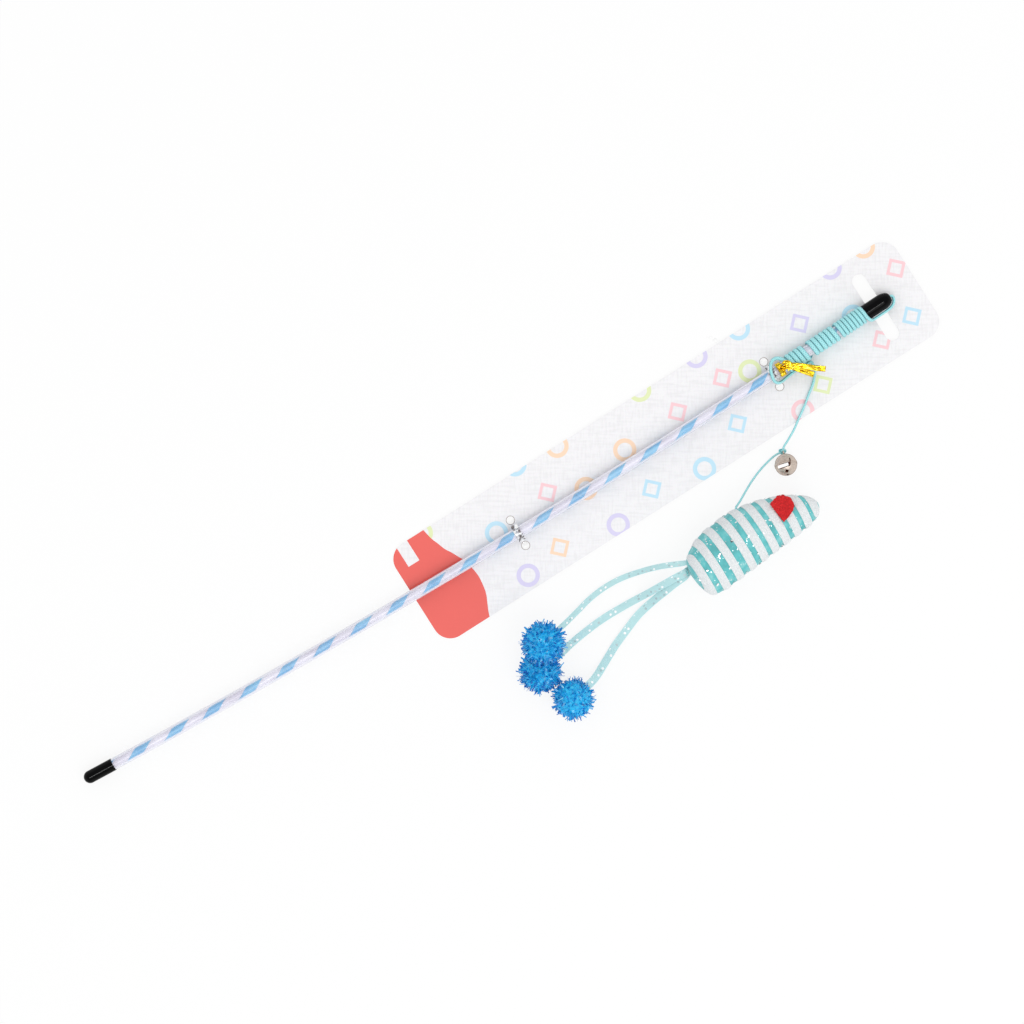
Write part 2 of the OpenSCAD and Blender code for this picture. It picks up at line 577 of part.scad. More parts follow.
// A pom-pom: a faceted ball with a three-sided strand drawn out of every second facet
module pompom(which) {
    at = pom_at[which];
    r = pom_core_d / 2;
    route = [ribbon_1_route, ribbon_2_route, ribbon_3_route][which];
    stops = stops_of(at, route[len(route) - 1]);
    draw = rands(pom_short_share, 1, pom_rows * pom_columns, pom_seed + which);
    place = function(i, k) on_floor(at + r * [sin(180 * i / pom_rows) * cos(360 * (k + i / 2) / pom_columns),
        sin(180 * i / pom_rows) * sin(360 * (k + i / 2) / pom_columns), cos(180 * i / pom_rows)]);
    grid = [for (i = [1 : pom_rows - 1], k = [0 : pom_columns - 1]) place(i, k)];
    top = len(grid);
    under = top + 1;
    first = under + 1;
    number = function(i, k) (i - 1) * pom_columns + (k + pom_columns) % pom_columns;
    plain = [for (i = [1 : pom_rows - 2], k = [0 : pom_columns - 1])
        [number(i, k), number(i, k + 1), number(i + 1, k)]];
    raised = concat([for (i = [1 : pom_rows - 2], k = [0 : pom_columns - 1])
        [number(i, k + 1), number(i + 1, k + 1), number(i + 1, k)]],
        [for (k = [0 : 2 : pom_columns - 1]) [top, number(1, k + 1), number(1, k)]],
        [for (k = [0 : 2 : pom_columns - 1]) [under, number(pom_rows - 1, k), number(pom_rows - 1, k + 1)]]);
    capped = concat([for (k = [1 : 2 : pom_columns - 1]) [top, number(1, k + 1), number(1, k)]],
        [for (k = [1 : 2 : pom_columns - 1]) [under, number(pom_rows - 1, k), number(pom_rows - 1, k + 1)]]);
    points = concat(grid, [at + [0, 0, r], on_floor(at - [0, 0, r])]);
    tips = [for (i = [0 : len(raised) - 1])
        let (f = raised[i], d = unit(points[f[0]] + points[f[1]] + points[f[2]] - 3 * at))
        on_floor(at + d * strand_reach(stops, d, draw[i % len(draw)] * pom_d / 2))];
    strands = [for (i = [0 : len(raised) - 1], k = [0 : 2]) [raised[i][k], raised[i][(k + 1) % 3], first + i]];
    color("deepskyblue") from_tip() polyhedron(points = concat(points, tips),
        faces = concat(plain, capped, strands));
}

module pompom_1() pompom(0);
module pompom_2() pompom(1);
module pompom_3() pompom(2);

rod_sleeve();
rod_core();
rod_stripe();
butt_cap();
tip_cap();
anchor_knot();
cord_winding();
gold_tie();
lower_tie();
upper_tie();
hang_card();
upper_cord();
cord_knot();
lower_cord();
bell_crown();
bell_base();
bell_eye();
bell_pea();
mouse_stuffing();
mouse_skin();
mouse_wrap();
tail_patch();
ear_upper();
ear_lower();
tail_ribbon_1();
tail_ribbon_2();
tail_ribbon_3();
pompom_1();
pompom_2();
pompom_3();
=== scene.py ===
"""Cat teaser wand tied to its hanging card: finishes, cords, soft pieces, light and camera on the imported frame."""
import functools
import math
import random

import bmesh
import bpy
from bpy.props import FloatProperty, FloatVectorProperty, IntProperty, PointerProperty
from mathutils import Matrix, Vector, noise


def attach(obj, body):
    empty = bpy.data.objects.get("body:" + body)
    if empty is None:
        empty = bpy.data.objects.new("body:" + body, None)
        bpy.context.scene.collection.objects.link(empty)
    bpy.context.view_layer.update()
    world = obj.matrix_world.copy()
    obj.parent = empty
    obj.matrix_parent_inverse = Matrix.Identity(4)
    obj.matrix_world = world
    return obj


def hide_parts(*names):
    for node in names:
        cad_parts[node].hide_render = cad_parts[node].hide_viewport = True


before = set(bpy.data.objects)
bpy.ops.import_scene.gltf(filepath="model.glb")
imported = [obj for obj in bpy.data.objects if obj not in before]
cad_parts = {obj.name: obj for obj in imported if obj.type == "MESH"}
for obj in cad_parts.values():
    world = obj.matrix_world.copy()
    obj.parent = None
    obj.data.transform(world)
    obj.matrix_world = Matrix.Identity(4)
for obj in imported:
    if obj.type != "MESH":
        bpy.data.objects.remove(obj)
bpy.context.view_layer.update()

bl_info = {
    "name": "Cat Teaser Wand",
    "version": (1, 0, 0),
    "blender": (4, 5, 0),
    "location": "View3D > Sidebar > Wand",
    "description": "Finishes, cords and soft pieces for a cat teaser wand on its hanging card",
    "category": "Object",
}

MM = 0.001

# In mm: the wand's tip in the frame, and the photograph's middle in the frame and from the tip.
# The camera's turn in degrees, mm for a pixel, and the way that is right in the picture
TIP, CAMERA_AT, PHOTO_MIDDLE = (199.418, 30.337), (7.97, 34.61), (-191.45, 4.27)
CAMERA_TURN, PIXEL, PICTURE_RIGHT = -30.96, 0.44, Vector((0.8575, -0.5144, 0))

# Routes of the cords and ribbons, in mm from the wand's tip on the line through the rod's two ends.
# The lead and the winding go by place along the rod, distance from its axis and angle round it; the winding's
# runs are turns and pitch
LEAD = ((-1.6, 0, 180), (-0.6, 0, 180), (0.3, 0.02, 180), (0.85, 0.35, 180), (0.95, 1.1, 180), (0.6, 2.1, 180),
        (-0.1, 3, 180), (-1.2, 3.8, 180), (-2.6, 4.25, 180), (-4.4, 4.4, 180), (-7, 4.4, 180), (-10, 4.4, 179),
        (-11.4, 4.4, 174), (-12.5, 4.4, 164), (-13.1, 4.35, 150), (-13.55, 4.28, 135), (-13.85, 4, 120),
        (-13.97, 3.65, 105))
WINDING_START, WINDING_STEPS = -13.975, 20
WINDING_RUNS = ((7.25, 1.8), (0.5, 4.4), (5.75, 2.2), (0.25, 12), (4.25, 2.2))
LOOP = ((-54.6, -0.6, 8.2), (-55.5, 1, 7.7), (-56.7, 2.2, 7.4), (-58.3, 2.6, 7.5), (-60, 2, 8), (-61.4, 0.4, 8.8),
        (-62.4, -1.7, 9.2), (-63, -3.9, 8.8), (-63, -5.8, 7.5), (-61.9, -7.3, 6), (-60.1, -7.6, 4.7),
        (-58, -7.3, 4.1), (-56.1, -7, 3.6), (-54.2, -6.8, 2.9), (-52.2, -6.6, 2.2), (-50, -6.6, 2),
        (-47.6, -6.6, 2), (-45.6, -6.6, 2))
CORD_EXIT = (-44.4, -6.6, 2)
UPPER = ((-44.1, -7.4, 2), (-44.3, -9.1, 2), (-45.1, -11.2, 2), (-46.8, -13.7, 2), (-49.4, -16.2, 2),
         (-52.5, -18.5, 2), (-55.4, -20.9, 2), (-58.7, -23.3, 2), (-61.9, -25.5, 2), (-64.5, -27.4, 2),
         (-66.9, -29, 1.9), (-69, -30.2, 1.7), (-71.2, -31.4, 1.5), (-73.6, -32.6, 1.5))
KNOT = (-75.4, -34.2, 1.5)
LOWER = ((-77, -34.1, 1.4), (-78.8, -34, 1.1), (-81.5, -34.4, 0.9), (-84, -35, 0.8), (-86.2, -35.6, 0.9),
         (-88.4, -36.3, 1.2), (-90.6, -37.1, 1.8), (-92.8, -38, 2.7), (-94.9, -38.9, 3.8), (-97.1, -40, 5.1),
         (-99.3, -41.1, 6.5), (-101.4, -42.2, 8), (-103.4, -43.2, 9.5), (-105, -43.9, 10.8), (-106, -44.3, 11.7))
MOUSE_END = (-107, -45.5, 12.3)
RIBBONS = (
    ((-135.9, -54.6, 13.2), (-139.5, -53.2, 13.5), (-143.2, -51.6, 13), (-147.6, -49.8, 11.1),
     (-152, -48.4, 8.3), (-156.4, -47.3, 5.3), (-161, -46.3, 2.7), (-165.5, -45.6, 1.5), (-169.5, -45.3, 1.5),
     (-174, -45.3, 1.5), (-178.3, -45.7, 1.5), (-183, -46.5, 1.5), (-187.2, -47.6, 1.9), (-191.5, -48.6, 4.2),
     (-196, -49.6, 7.7), (-199.8, -50.3, 10.7), (-202.9, -50.8, 13.3)),
    ((-135.9, -56.6, 12.6), (-140.6, -57.5, 12.4), (-144, -57.3, 12), (-149, -57.2, 10.1), (-154, -57.2, 7.2),
     (-158.6, -57.2, 4.4), (-163.5, -57, 2), (-168.5, -56.8, 1.5), (-173.5, -56.7, 1.5), (-178.4, -56.7, 1.5),
     (-183, -56.9, 1.5), (-187.4, -57.3, 1.5), (-191.6, -57.8, 1.5), (-196, -58.4, 2), (-200.5, -59.2, 3.8),
     (-204.2, -60, 5.5), (-209.4, -60.9, 8)),
    ((-135.9, -57.2, 12.2), (-140.8, -58.8, 11.2), (-143.8, -59.1, 10.8), (-148, -59.6, 9), (-152, -60.3, 6.7),
     (-156.5, -61, 4), (-161, -61.9, 1.8), (-165.2, -62.8, 1.5), (-169.6, -64.2, 1.5), (-174, -66, 1.5),
     (-178.4, -67.8, 1.5), (-182.8, -69.7, 1.5), (-187.2, -72, 1.5), (-191.6, -74.3, 1.9), (-196, -76.5, 4.2),
     (-199.6, -77.8, 6.2), (-203.2, -78.5, 8)))
GOLD_TAILS = (
    ((-58, -1.6, 8.1), (-56.6, -2.2, 9), (-55, -3.1, 9.55), (-53, -4.8, 9.6), (-50.4, -7.8, 8.9),
     (-46.7, -12.2, 7.6)),
    ((-58, -3.6, 7.8), (-56, -3.2, 9.4), (-53.4, -3.7, 10.1), (-49.6, -6.2, 9.9), (-45, -9.8, 8.8),
     (-41, -12.7, 7.9)),
    ((-58.4, -2.4, 8.4), (-57, -1.2, 9.6), (-55.2, -1.1, 10.2), (-53.8, -2.2, 10.4), (-54.2, -3.9, 10.3),
     (-55.8, -4.1, 10.1)))
TAIL_BODIES = ("upper_tail", "middle_tail", "lower_tail")
POMS = ((-209.2, -51.8, 18), (-216.7, -62.3, 8.6), (-210.6, -79.9, 8.6))

# The wand's gentle bow, where the clear ties go round it, how far their holes are from it and the reach of the
# painted shadow round each hole
TIES_AT, TIE_HOLE_OUT, TIE_HOLE_SHADOW_R = (-193.9, -61.9), 6.5, 2.02
WAND_LENGTH, WAND_BOW, WAND_Z, WINDING_R = 413.4, 5, 5, 3.33
BOW_R = WAND_LENGTH ** 2 / (8 * WAND_BOW) + WAND_BOW / 2

# The card: its middle in the frame, its tilt, where its red foot starts on it, how far the foot's edge swings
# and the swing's shares from side to side, and the white label's middle and half sizes
CARD_MIDDLE, CARD_TILT, CARD_HALF = (82.618, 26.737), 1.44, 24
FOOT_EDGE, FOOT_SWING = -112, -10
FOOT_ARCH = ((0, 0.45), (0.16, 0.79), (0.32, 0.98), (0.47, 0.94), (0.6, 0.76), (0.72, 0.45), (0.85, 0.2), (1, 0.03))
LABEL_X, LABEL_Y = (-123.1, 2.8), (20.2, 6.5)

# The mouse: share of its length, then of its size across to the back and to the belly; and the wrap: share of
# its turns, then of the mouse's length
BODY = ((0, 0.56, 0.34), (0.008, 0.66, 0.22), (0.03, 0.77, 0.1), (0.06, 0.84, 0.04), (0.11, 0.9, 0.01),
        (0.2, 0.98, 0), (0.3, 1, 0), (0.42, 1, 0), (0.5, 0.98, 0), (0.6, 0.92, 0), (0.7, 0.83, 0),
        (0.79, 0.72, 0), (0.88, 0.58, 0.01), (0.935, 0.47, 0.04), (0.972, 0.37, 0.09), (0.992, 0.29, 0.15),
        (1, 0.23, 0.21))
WRAP = ((0, 0.034), (0.03, 0.044), (0.13, 0.148), (0.24, 0.268), (0.345, 0.382), (0.45, 0.484), (0.555, 0.578),
        (0.66, 0.674), (0.77, 0.774), (0.88, 0.874), (0.97, 0.948), (1, 0.966))
# Where its tail end starts from the tip, its turn in degrees, its length and the height of its middle in mm
MOUSE_AT, MOUSE_TURN, MOUSE_LENGTH, MOUSE_MID = (-136.8, -74.6), 6.3, 63.4, 12.5
# The cover's size across the floor and up, then the wrap: how thick, how many turns, and how slanting
SKIN_H, SKIN_W, WRAP_STAND, WRAP_TURNS, WRAP_LEAN = 25.1, 23.6, 1.2, 9.5, (0.9, 2)

# The large flakes: pixels right and down from the photograph's middle, and length in widths
LARGE_FLAKES = ((186, 67, 1), (203, 71, 1.7), (205, 43, 1.8), (217, 29, 1.2), (222, 11, 0.6), (228, 42, 0.7),
                (234, 24, 1.1), (243, 40, 1), (255, 8, 1.2), (265, 22, 1.1), (278, 18, 1), (290, 10, 1),
                (193, 58, 0.7), (215, 55, 0.6), (193, 30, 0.6), (249, 20, 0.8))

# The bell hangs from its knot; slots as bearing, lean, length, share of the full width and turn
BELL_AT = Vector((122.044, -9.543, 4.95)) * MM
BELL_R, BELL_BEARING, BELL_LEAN = 4.9 * MM, 248.6, 114.4
SEAM_HALF, SEAM_OUT, EYE_HOLE_R = 0.42 * MM, 0.14 * MM, 0.7 * MM
BELL_SLOTS = ((168, 16.26, 5.9, 1, 0), (17, 26, 3.4, 0.3, 42), (242, 35, 1.7, 0.45, 30), (242, 35, 1.7, 0.45, 120))


# ---------------------------------------------------------------- sizes and colours

def srgb(code):
    """Turns an sRGB hex value into linear red, green, blue and alpha."""
    shares = [int(code[i:i + 2], 16) / 255 for i in (1, 3, 5)]
    return [c / 12.92 if c <= 0.04045 else ((c + 0.055) / 1.055) ** 2.4 for c in shares] + [1.0]


def size(name, description, millimetres):
    return FloatProperty(name=name, description=description, default=millimetres * MM, min=0, unit="LENGTH")


def tint(name, description, code):
    return FloatVectorProperty(name=name, description=description, default=srgb(code), size=4, min=0, max=1,
                               subtype="COLOR")


class WandStudioLooks(bpy.types.PropertyGroup):
    camera_height: size("Camera height", "From the floor to the camera", 1507)
    lens: FloatProperty(name="Lens", description="Focal length of the camera", default=0.12, unit="LENGTH")
    sky: FloatProperty(name="Sky", description="Share of the light that comes from all round", default=0.86)
    key: FloatProperty(name="Key lamp", description="Power of the large lamp", default=7, unit="POWER")
    paper: tint("Paper", "The floor's seamless paper", "#F7F7F7")


class WandRodLooks(bpy.types.PropertyGroup):
    sleeve: tint("Sleeve", "Haze of the clear sleeve", "#F3F3FB")
    core: tint("Core", "Inner tube", "#EFEDF8")
    stripe: tint("Stripe", "Spiral tape", "#84CDF0")
    cap: tint("Caps", "Both end caps", "#050506")


class WandCordLooks(bpy.types.PropertyGroup):
    winding_gap: size("Winding gap", "From turn to turn of the pressed cord", 0.1)
    winding_height: size("Winding height", "Thickness of the wound cord", 1.38)
    cord_width: size("Cord width", "Width of the free cord", 1.1)
    toy_cord_width: size("Toy cord width", "Width of the stretched cord at the mouse", 0.95)
    ridge: tint("Ridges", "Top of the braid", "#AEEBEF")
    painted_valley_shade: tint("Valleys", "Between the strands", "#76CCD3")


class WandCardLooks(bpy.types.PropertyGroup):
    board: tint("Board", "Printed white board", "#F5F4F6")
    foot: tint("Foot", "Printed foot of the card", "#EE6057")
    motif_size: size("Motif size", "Half the width of a printed motif", 4.2)
    stroke: size("Stroke", "Width of a motif's line", 1.9)
    motif_spacing: size("Motif spacing", "From motif to motif", 23)


class WandTieLooks(bpy.types.PropertyGroup):
    foil_width: size("Foil width", "Width of the gold foil", 2.5)
    foil: tint("Foil", "Gold foil", "#FFD21F")
    film: tint("Film", "Clear film of the ties", "#FAFBFD")


class WandBellLooks(bpy.types.PropertyGroup):
    wall: size("Bell wall", "Thickness of the sheet metal", 0.4)
    slot_width: size("Slot width", "Width of the bell's widest slot", 1.9)
    metal: tint("Nickel", "Plating of the bell", "#D8C9BD")


class WandMouseLooks(bpy.types.PropertyGroup):
    wrap_width: size("Wrap width", "Width of the terry wrap", 3.85)
    pile: size("Pile", "Height of the terry loops", 0.16)
    flake_width: size("Flake width", "Width of a silver flake", 1.25)
    cover: tint("Cover", "Glitter cloth of the body", "#66C6C9")
    terry: tint("Terry", "Terry wrap", "#F7F8F9")
    felt: tint("Felt", "Ears", "#D3161B")


class WandTailLooks(bpy.types.PropertyGroup):
    ribbon_width: size("Ribbon width", "Width of a tail ribbon", 3.2)
    ribbon_thickness: size("Ribbon thickness", "Thickness of a tail ribbon", 0.14)
    strands: IntProperty(name="Strands", description="Tinsel strands of a pom-pom", default=900, min=50)
    reach: size("Reach", "From a pom-pom's middle to its longest tips", 11)
    gauze: tint("Gauze", "Sheer ribbon", "#C4EFF2")
    tinsel: tint("Tinsel", "Blue tinsel film", "#1DB6F0")


# ---------------------------------------------------------------- finishes

def fill(node, settings):
    """Fills a node's attributes, sockets or ramp; a node, by its first output, or a socket is linked in."""
    for key, value in settings.items():
        if key == "stops":
            while len(node.color_ramp.elements) < len(value):
                node.color_ramp.elements.new(0.5)
            for stop, (place, shade) in zip(node.color_ramp.elements, value):
                stop.position, stop.color = place, shade
        elif isinstance(value, (bpy.types.Node, bpy.types.NodeSocket)):
            source = value.outputs[0] if isinstance(value, bpy.types.Node) else value
            node.id_data.links.new(source, node.inputs[key])
        elif isinstance(key, str) and hasattr(node, key):
            setattr(node, key, value)
        else:
            node.inputs[key].default_value = value


def add_node(tree, kind, settings=None):
    """Adds a node and fills it."""
    made = tree.nodes.new("ShaderNode" + kind)
    fill(made, settings or {})
    return made


def new_finish(name, sockets):
    """A material, what adds nodes to it, its shader with its own sockets set, and its texture coordinates."""
    made = bpy.data.materials.new(name)
    made.use_nodes = True
    add = functools.partial(add_node, made.node_tree)
    shader = made.node_tree.nodes["Principled BSDF"]
    fill(shader, sockets)
    return made, add, shader, add("TexCoord").outputs


def direct_rays(add):
    """1 for what the camera sees, straight, in a gloss or through glass, and 0 for light that bounces."""
    rays = add("LightPath").outputs
    seen = add("Math", {"operation": "MAXIMUM", 0: rays["Is Camera Ray"], 1: rays["Is Glossy Ray"]})
    return add("Math", {"operation": "MAXIMUM", 0: seen, 1: rays["Is Transmission Ray"]})


def shaded(colour, factor):
    return [min(1, c * factor) for c in colour[:3]] + [1.0]


def clear_pvc(looks):
    # Extruded clear PVC tube: colourless and glossy, hazier along its two sides, where the wall is seen edge on,
    # with painted grey-lilac shade on those sides.
    # The rod lies along X, so the side is told from the view with its share along X taken away
    made, add, shader, where = new_finish("extruded_clear_pvc", {"Roughness": 0.12, "IOR": 1.53})
    surface = add("NewGeometry")
    level = add("VectorMath", {"operation": "MULTIPLY", 0: surface.outputs["Incoming"], 1: (0, 1, 1)})
    across = add("VectorMath", {"operation": "NORMALIZE", 0: level})
    front = add("VectorMath", {"operation": "DOT_PRODUCT", 0: across, 1: surface.outputs["Normal"]})
    side = add("Math", {"operation": "SUBTRACT", 0: 1, 1: front.outputs["Value"]})
    drawn = add("Mapping", {"Scale": (8, 350, 350), "Vector": where["Object"]})
    lines = add("TexNoise", {"Scale": 1, "Detail": 1, "Vector": drawn})
    haze = add("MapRange", {"From Min": 0.2, "From Max": 0.5, "To Min": 0.03, "To Max": 0.85, "Value": side})
    streaks = add("Math", {"operation": "MULTIPLY_ADD", 0: lines, 1: 0.12, 2: haze})
    # Painted shade: the colour turns grey-lilac along the tube's two sides as seen
    rim = add("ValToRGB", {"stops": ((0.55, looks.sleeve), (0.9, srgb("#CBC7DA"))), "Fac": side})
    fill(shader, {"Base Color": rim, "Alpha": streaks})
    return made


def drawn_tube(name, colour, deep, gloss):
    # Extruded ABS or wound film under the sleeve: satin, with faint lines along it from the drawing
    made, add, shader, where = new_finish(name, {"Roughness": gloss, "IOR": 1.5})
    drawn = add("Mapping", {"Scale": (30, 400, 400), "Vector": where["Object"]})
    lines = add("TexNoise", {"Scale": 1, "Detail": 2, "Vector": drawn})
    cloud = add("TexNoise", {"Scale": 120, "Detail": 2, "Vector": where["Object"]})
    both = add("Math", {"operation": "MULTIPLY", 0: lines, 1: cloud})
    ramp = add("ValToRGB", {"stops": ((0.12, deep), (0.34, colour)), "Fac": both})
    fill(shader, {"Base Color": ramp})
    return made


def black_pvc(looks):
    # Dip-moulded black PVC: deep black with a wet gloss, faint scuffs and a slightly uneven skin
    made, add, shader, where = new_finish("moulded_black_pvc", {"IOR": 1.5, "Specular IOR Level": 0.09})
    scuffs = add("TexNoise", {"Scale": 900, "Detail": 4, "Vector": where["Object"]})
    waves = add("TexNoise", {"Scale": 90, "Detail": 1, "Vector": where["Object"]})
    ramp = add("ValToRGB", {"stops": ((0.45, looks.cap), (0.8, srgb("#08080A"))), "Fac": scuffs})
    rough = add("MapRange", {"To Min": 0.05, "To Max": 0.08, "Value": scuffs})
    bump = add("Bump", {"Strength": 0.05, "Distance": 0.0003, "Height": waves})
    fill(shader, {"Base Color": ramp, "Roughness": rough, "Normal": bump})
    return made


def braided_elastic(looks):
    # Braided polyester over elastic: matte, two sets of strands that cross; the strands are 0.9 mm wide, about
    # twice the real ones, so that the braid shows
    made, add, shader, where = new_finish("braided_elastic", {"Roughness": 0.82, "Sheen Weight": 0.25,
                                                              "Sheen Roughness": 0.4})
    sets = []
    for way in (6, -6):
        run = add("VectorMath", {"operation": "DOT_PRODUCT", 0: where["UV"], 1: (way * math.tau, math.tau / 1.5, 0)})
        wave = add("Math", {"operation": "SINE", 0: run.outputs["Value"]})
        sets.append(wave)
    weave = add("Math", {"operation": "MAXIMUM", 0: sets[0], 1: sets[1]})
    fuzz = add("TexNoise", {"Scale": 3500, "Detail": 3, "Vector": where["Object"]})
    mixed = add("Math", {"operation": "MULTIPLY_ADD", 0: fuzz, 1: 0.8, 2: weave})
    # Painted shade: darker teal between the strands, paler on their tops
    ramp = add("ValToRGB", {"stops": ((0, looks.painted_valley_shade), (0.7, looks.ridge)), "Fac": mixed})
    # Painted shade: the colour darkens to deeper teal on the two flanks of the cord's section, where wound turns
    # shade each other
    apart = add("SeparateXYZ", {"Vector": where["UV"]})
    round_it = add("Math", {"operation": "MULTIPLY", 0: apart.outputs["X"], 1: 2 * math.tau})
    flank = add("Math", {"operation": "COSINE", 0: round_it})
    dark = add("ValToRGB", {"stops": ((0.1, (1, 1, 1, 1)), (0.95, srgb("#84C4CA"))), "Fac": flank})
    groove_shaded_braid = add("MixRGB", {"blend_type": "MULTIPLY", "Fac": 1, "Color1": ramp, "Color2": dark})
    bump = add("Bump", {"Strength": 0.35, "Distance": 0.0001, "Height": mixed})
    fill(shader, {"Base Color": groove_shaded_braid, "Normal": bump})
    return made


def linen_board(looks):
    # Coated paperboard with a linen emboss and offset print: nearly white, soft sheen, 1.3 mm emboss also painted as
    # faint shade along its lines, pale dots and lozenges, a red foot with an arched edge and a bare white label
    made, add, shader, where = new_finish("linen_paperboard", {"Roughness": 0.5, "IOR": 1.45})
    flat = add("Mapping", {"vector_type": "TEXTURE", "Location": (CARD_MIDDLE[0] * MM, CARD_MIDDLE[1] * MM, 0),
                           "Rotation": (0, 0, math.radians(CARD_TILT)), "Scale": (MM, MM, MM),
                           "Vector": where["Object"]})
    apart = add("SeparateXYZ", {"Vector": flat})
    x, y, z = (apart.outputs[k] for k in "XYZ")
    threads = []
    for turn, scale in ((-32.4, (9, 1.1, 1)), (57.6, (6, 0.9, 1))):
        drawn = add("Mapping", {"vector_type": "TEXTURE", "Rotation": (0, 0, math.radians(turn)), "Scale": scale,
                                "Vector": flat})
        threads.append(add("TexNoise", {"Scale": 1, "Detail": 2, "Vector": drawn}))
    linen = add("Math", {"operation": "MULTIPLY", 0: threads[0], 1: threads[1]})
    fibre = add("TexNoise", {"Scale": 1.1, "Detail": 5, "Vector": flat})
    # Painted shade: the board darkens slightly along the emboss's lines
    emboss_shade = add("ValToRGB", {"stops": ((0.14, shaded(looks.board, 0.93)), (0.3, looks.board)), "Fac": linen})
    grain = add("MixRGB", {"blend_type": "MULTIPLY", "Fac": 0.06, "Color1": emboss_shade, "Color2": fibre.outputs["Color"]})
    spread = 1 / (looks.motif_spacing / MM)
    cells = [add("TexVoronoi", {"voronoi_dimensions": "2D", "distance": kind, "Scale": spread, "Randomness": 0.55,
                                "Vector": flat}) for kind in ("EUCLIDEAN", "MANHATTAN")]
    chance = add("SeparateColor", {"Color": cells[0].outputs["Color"]})
    which = add("Math", {"operation": "GREATER_THAN", 0: chance.outputs["Green"], 1: 0.5})
    shape = add("MixRGB", {"Fac": which, "Color1": cells[0], "Color2": cells[1]})
    motif = add("Math", {"operation": "COMPARE", 0: shape, 1: looks.motif_size / MM * spread,
                         2: looks.stroke / MM / 2 * spread})
    pastel = add("ValToRGB", {"stops": ((0, srgb("#E3EDB8")), (0.22, srgb("#FBD9BC")), (0.42, srgb("#BFE4F6")),
                                        (0.6, srgb("#D8D2F1")), (0.8, srgb("#F9CDD3")), (1, srgb("#D8EFC4"))),
                              "Fac": chance.outputs["Red"]})
    pastel.color_ramp.interpolation = "CONSTANT"
    print_mix = add("MixRGB", {"Fac": motif, "Color1": grain, "Color2": pastel})
    beside = add("MapRange", {"From Min": -CARD_HALF, "From Max": CARD_HALF, "Value": y})
    swoop = add("ValToRGB", {"stops": [(place, (v, v, v, 1)) for place, v in FOOT_ARCH], "Fac": beside})
    swoop.color_ramp.interpolation = "CARDINAL"
    arch = add("Math", {"operation": "MULTIPLY_ADD", 0: swoop, 1: FOOT_SWING, 2: x})
    foot = add("Math", {"operation": "LESS_THAN", 0: arch, 1: FOOT_EDGE})
    red = add("MixRGB", {"Fac": 0.12, "blend_type": "MULTIPLY", "Color1": looks.foot, "Color2": emboss_shade})
    footed = add("MixRGB", {"Fac": foot, "Color1": print_mix, "Color2": red})
    wide, high = (add("Math", {"operation": "COMPARE", 0: way, 1: place[0], 2: place[1]})
                  for way, place in ((x, LABEL_X), (y, LABEL_Y)))
    label = add("Math", {"operation": "MULTIPLY", 0: wide, 1: high})
    labelled = add("MixRGB", {"Fac": label, "Color1": footed, "Color2": grain})
    front = add("Math", {"operation": "GREATER_THAN", 0: z, 1: 0.9})
    last = add("MixRGB", {"Color1": srgb("#E6E4E0"), "Fac": front, "Color2": labelled})
    across = add("CombineXYZ", {"X": x, "Y": y})
    # Painted shadow: a grey-brown ring round each tie hole, where its cut edge shades the board
    for tie in TIES_AT:
        for way in (0, 180):
            hole = round_wand(tie, TIE_HOLE_OUT, way) / MM - Vector((*CARD_MIDDLE, 0))
            hole.rotate(Matrix.Rotation(math.radians(-CARD_TILT), 3, "Z"))
            far = add("VectorMath", {"operation": "DISTANCE", 0: across, 1: (hole.x, hole.y, 0)})
            near = add("Math", {"operation": "LESS_THAN", 0: far.outputs["Value"], 1: TIE_HOLE_SHADOW_R})
            last = add("MixRGB", {"Color2": srgb("#A99F9B"), "Fac": near, "Color1": last})
    bump = add("Bump", {"Strength": 0.25, "Distance": 0.00015, "Height": linen})
    fill(shader, {"Base Color": last, "Normal": bump})
    return made


def gold_foil(looks):
    # Metallised film on paper, twisted by hand: bright yellow mirror facets, with painted brown shade in the creases
    # and painted pale yellow highlights on the folds
    made, add, shader, where = new_finish("creased_gold_foil", {"Metallic": 1, "Roughness": 0.2})
    drawn = add("Mapping", {"Scale": (4.5, 0.35, 1), "Vector": where["UV"]})
    creases = add("TexNoise", {"Scale": 1, "Detail": 2, "Distortion": 0.5, "Vector": drawn})
    ramp = add("ValToRGB", {"stops": ((0.34, srgb("#8A5606")), (0.47, looks.foil), (0.72, srgb("#FFE561"))),
                            "Fac": creases})
    bump = add("Bump", {"Strength": 0.6, "Distance": 0.0004, "Height": creases})
    fill(shader, {"Base Color": ramp, "Normal": bump})
    return made


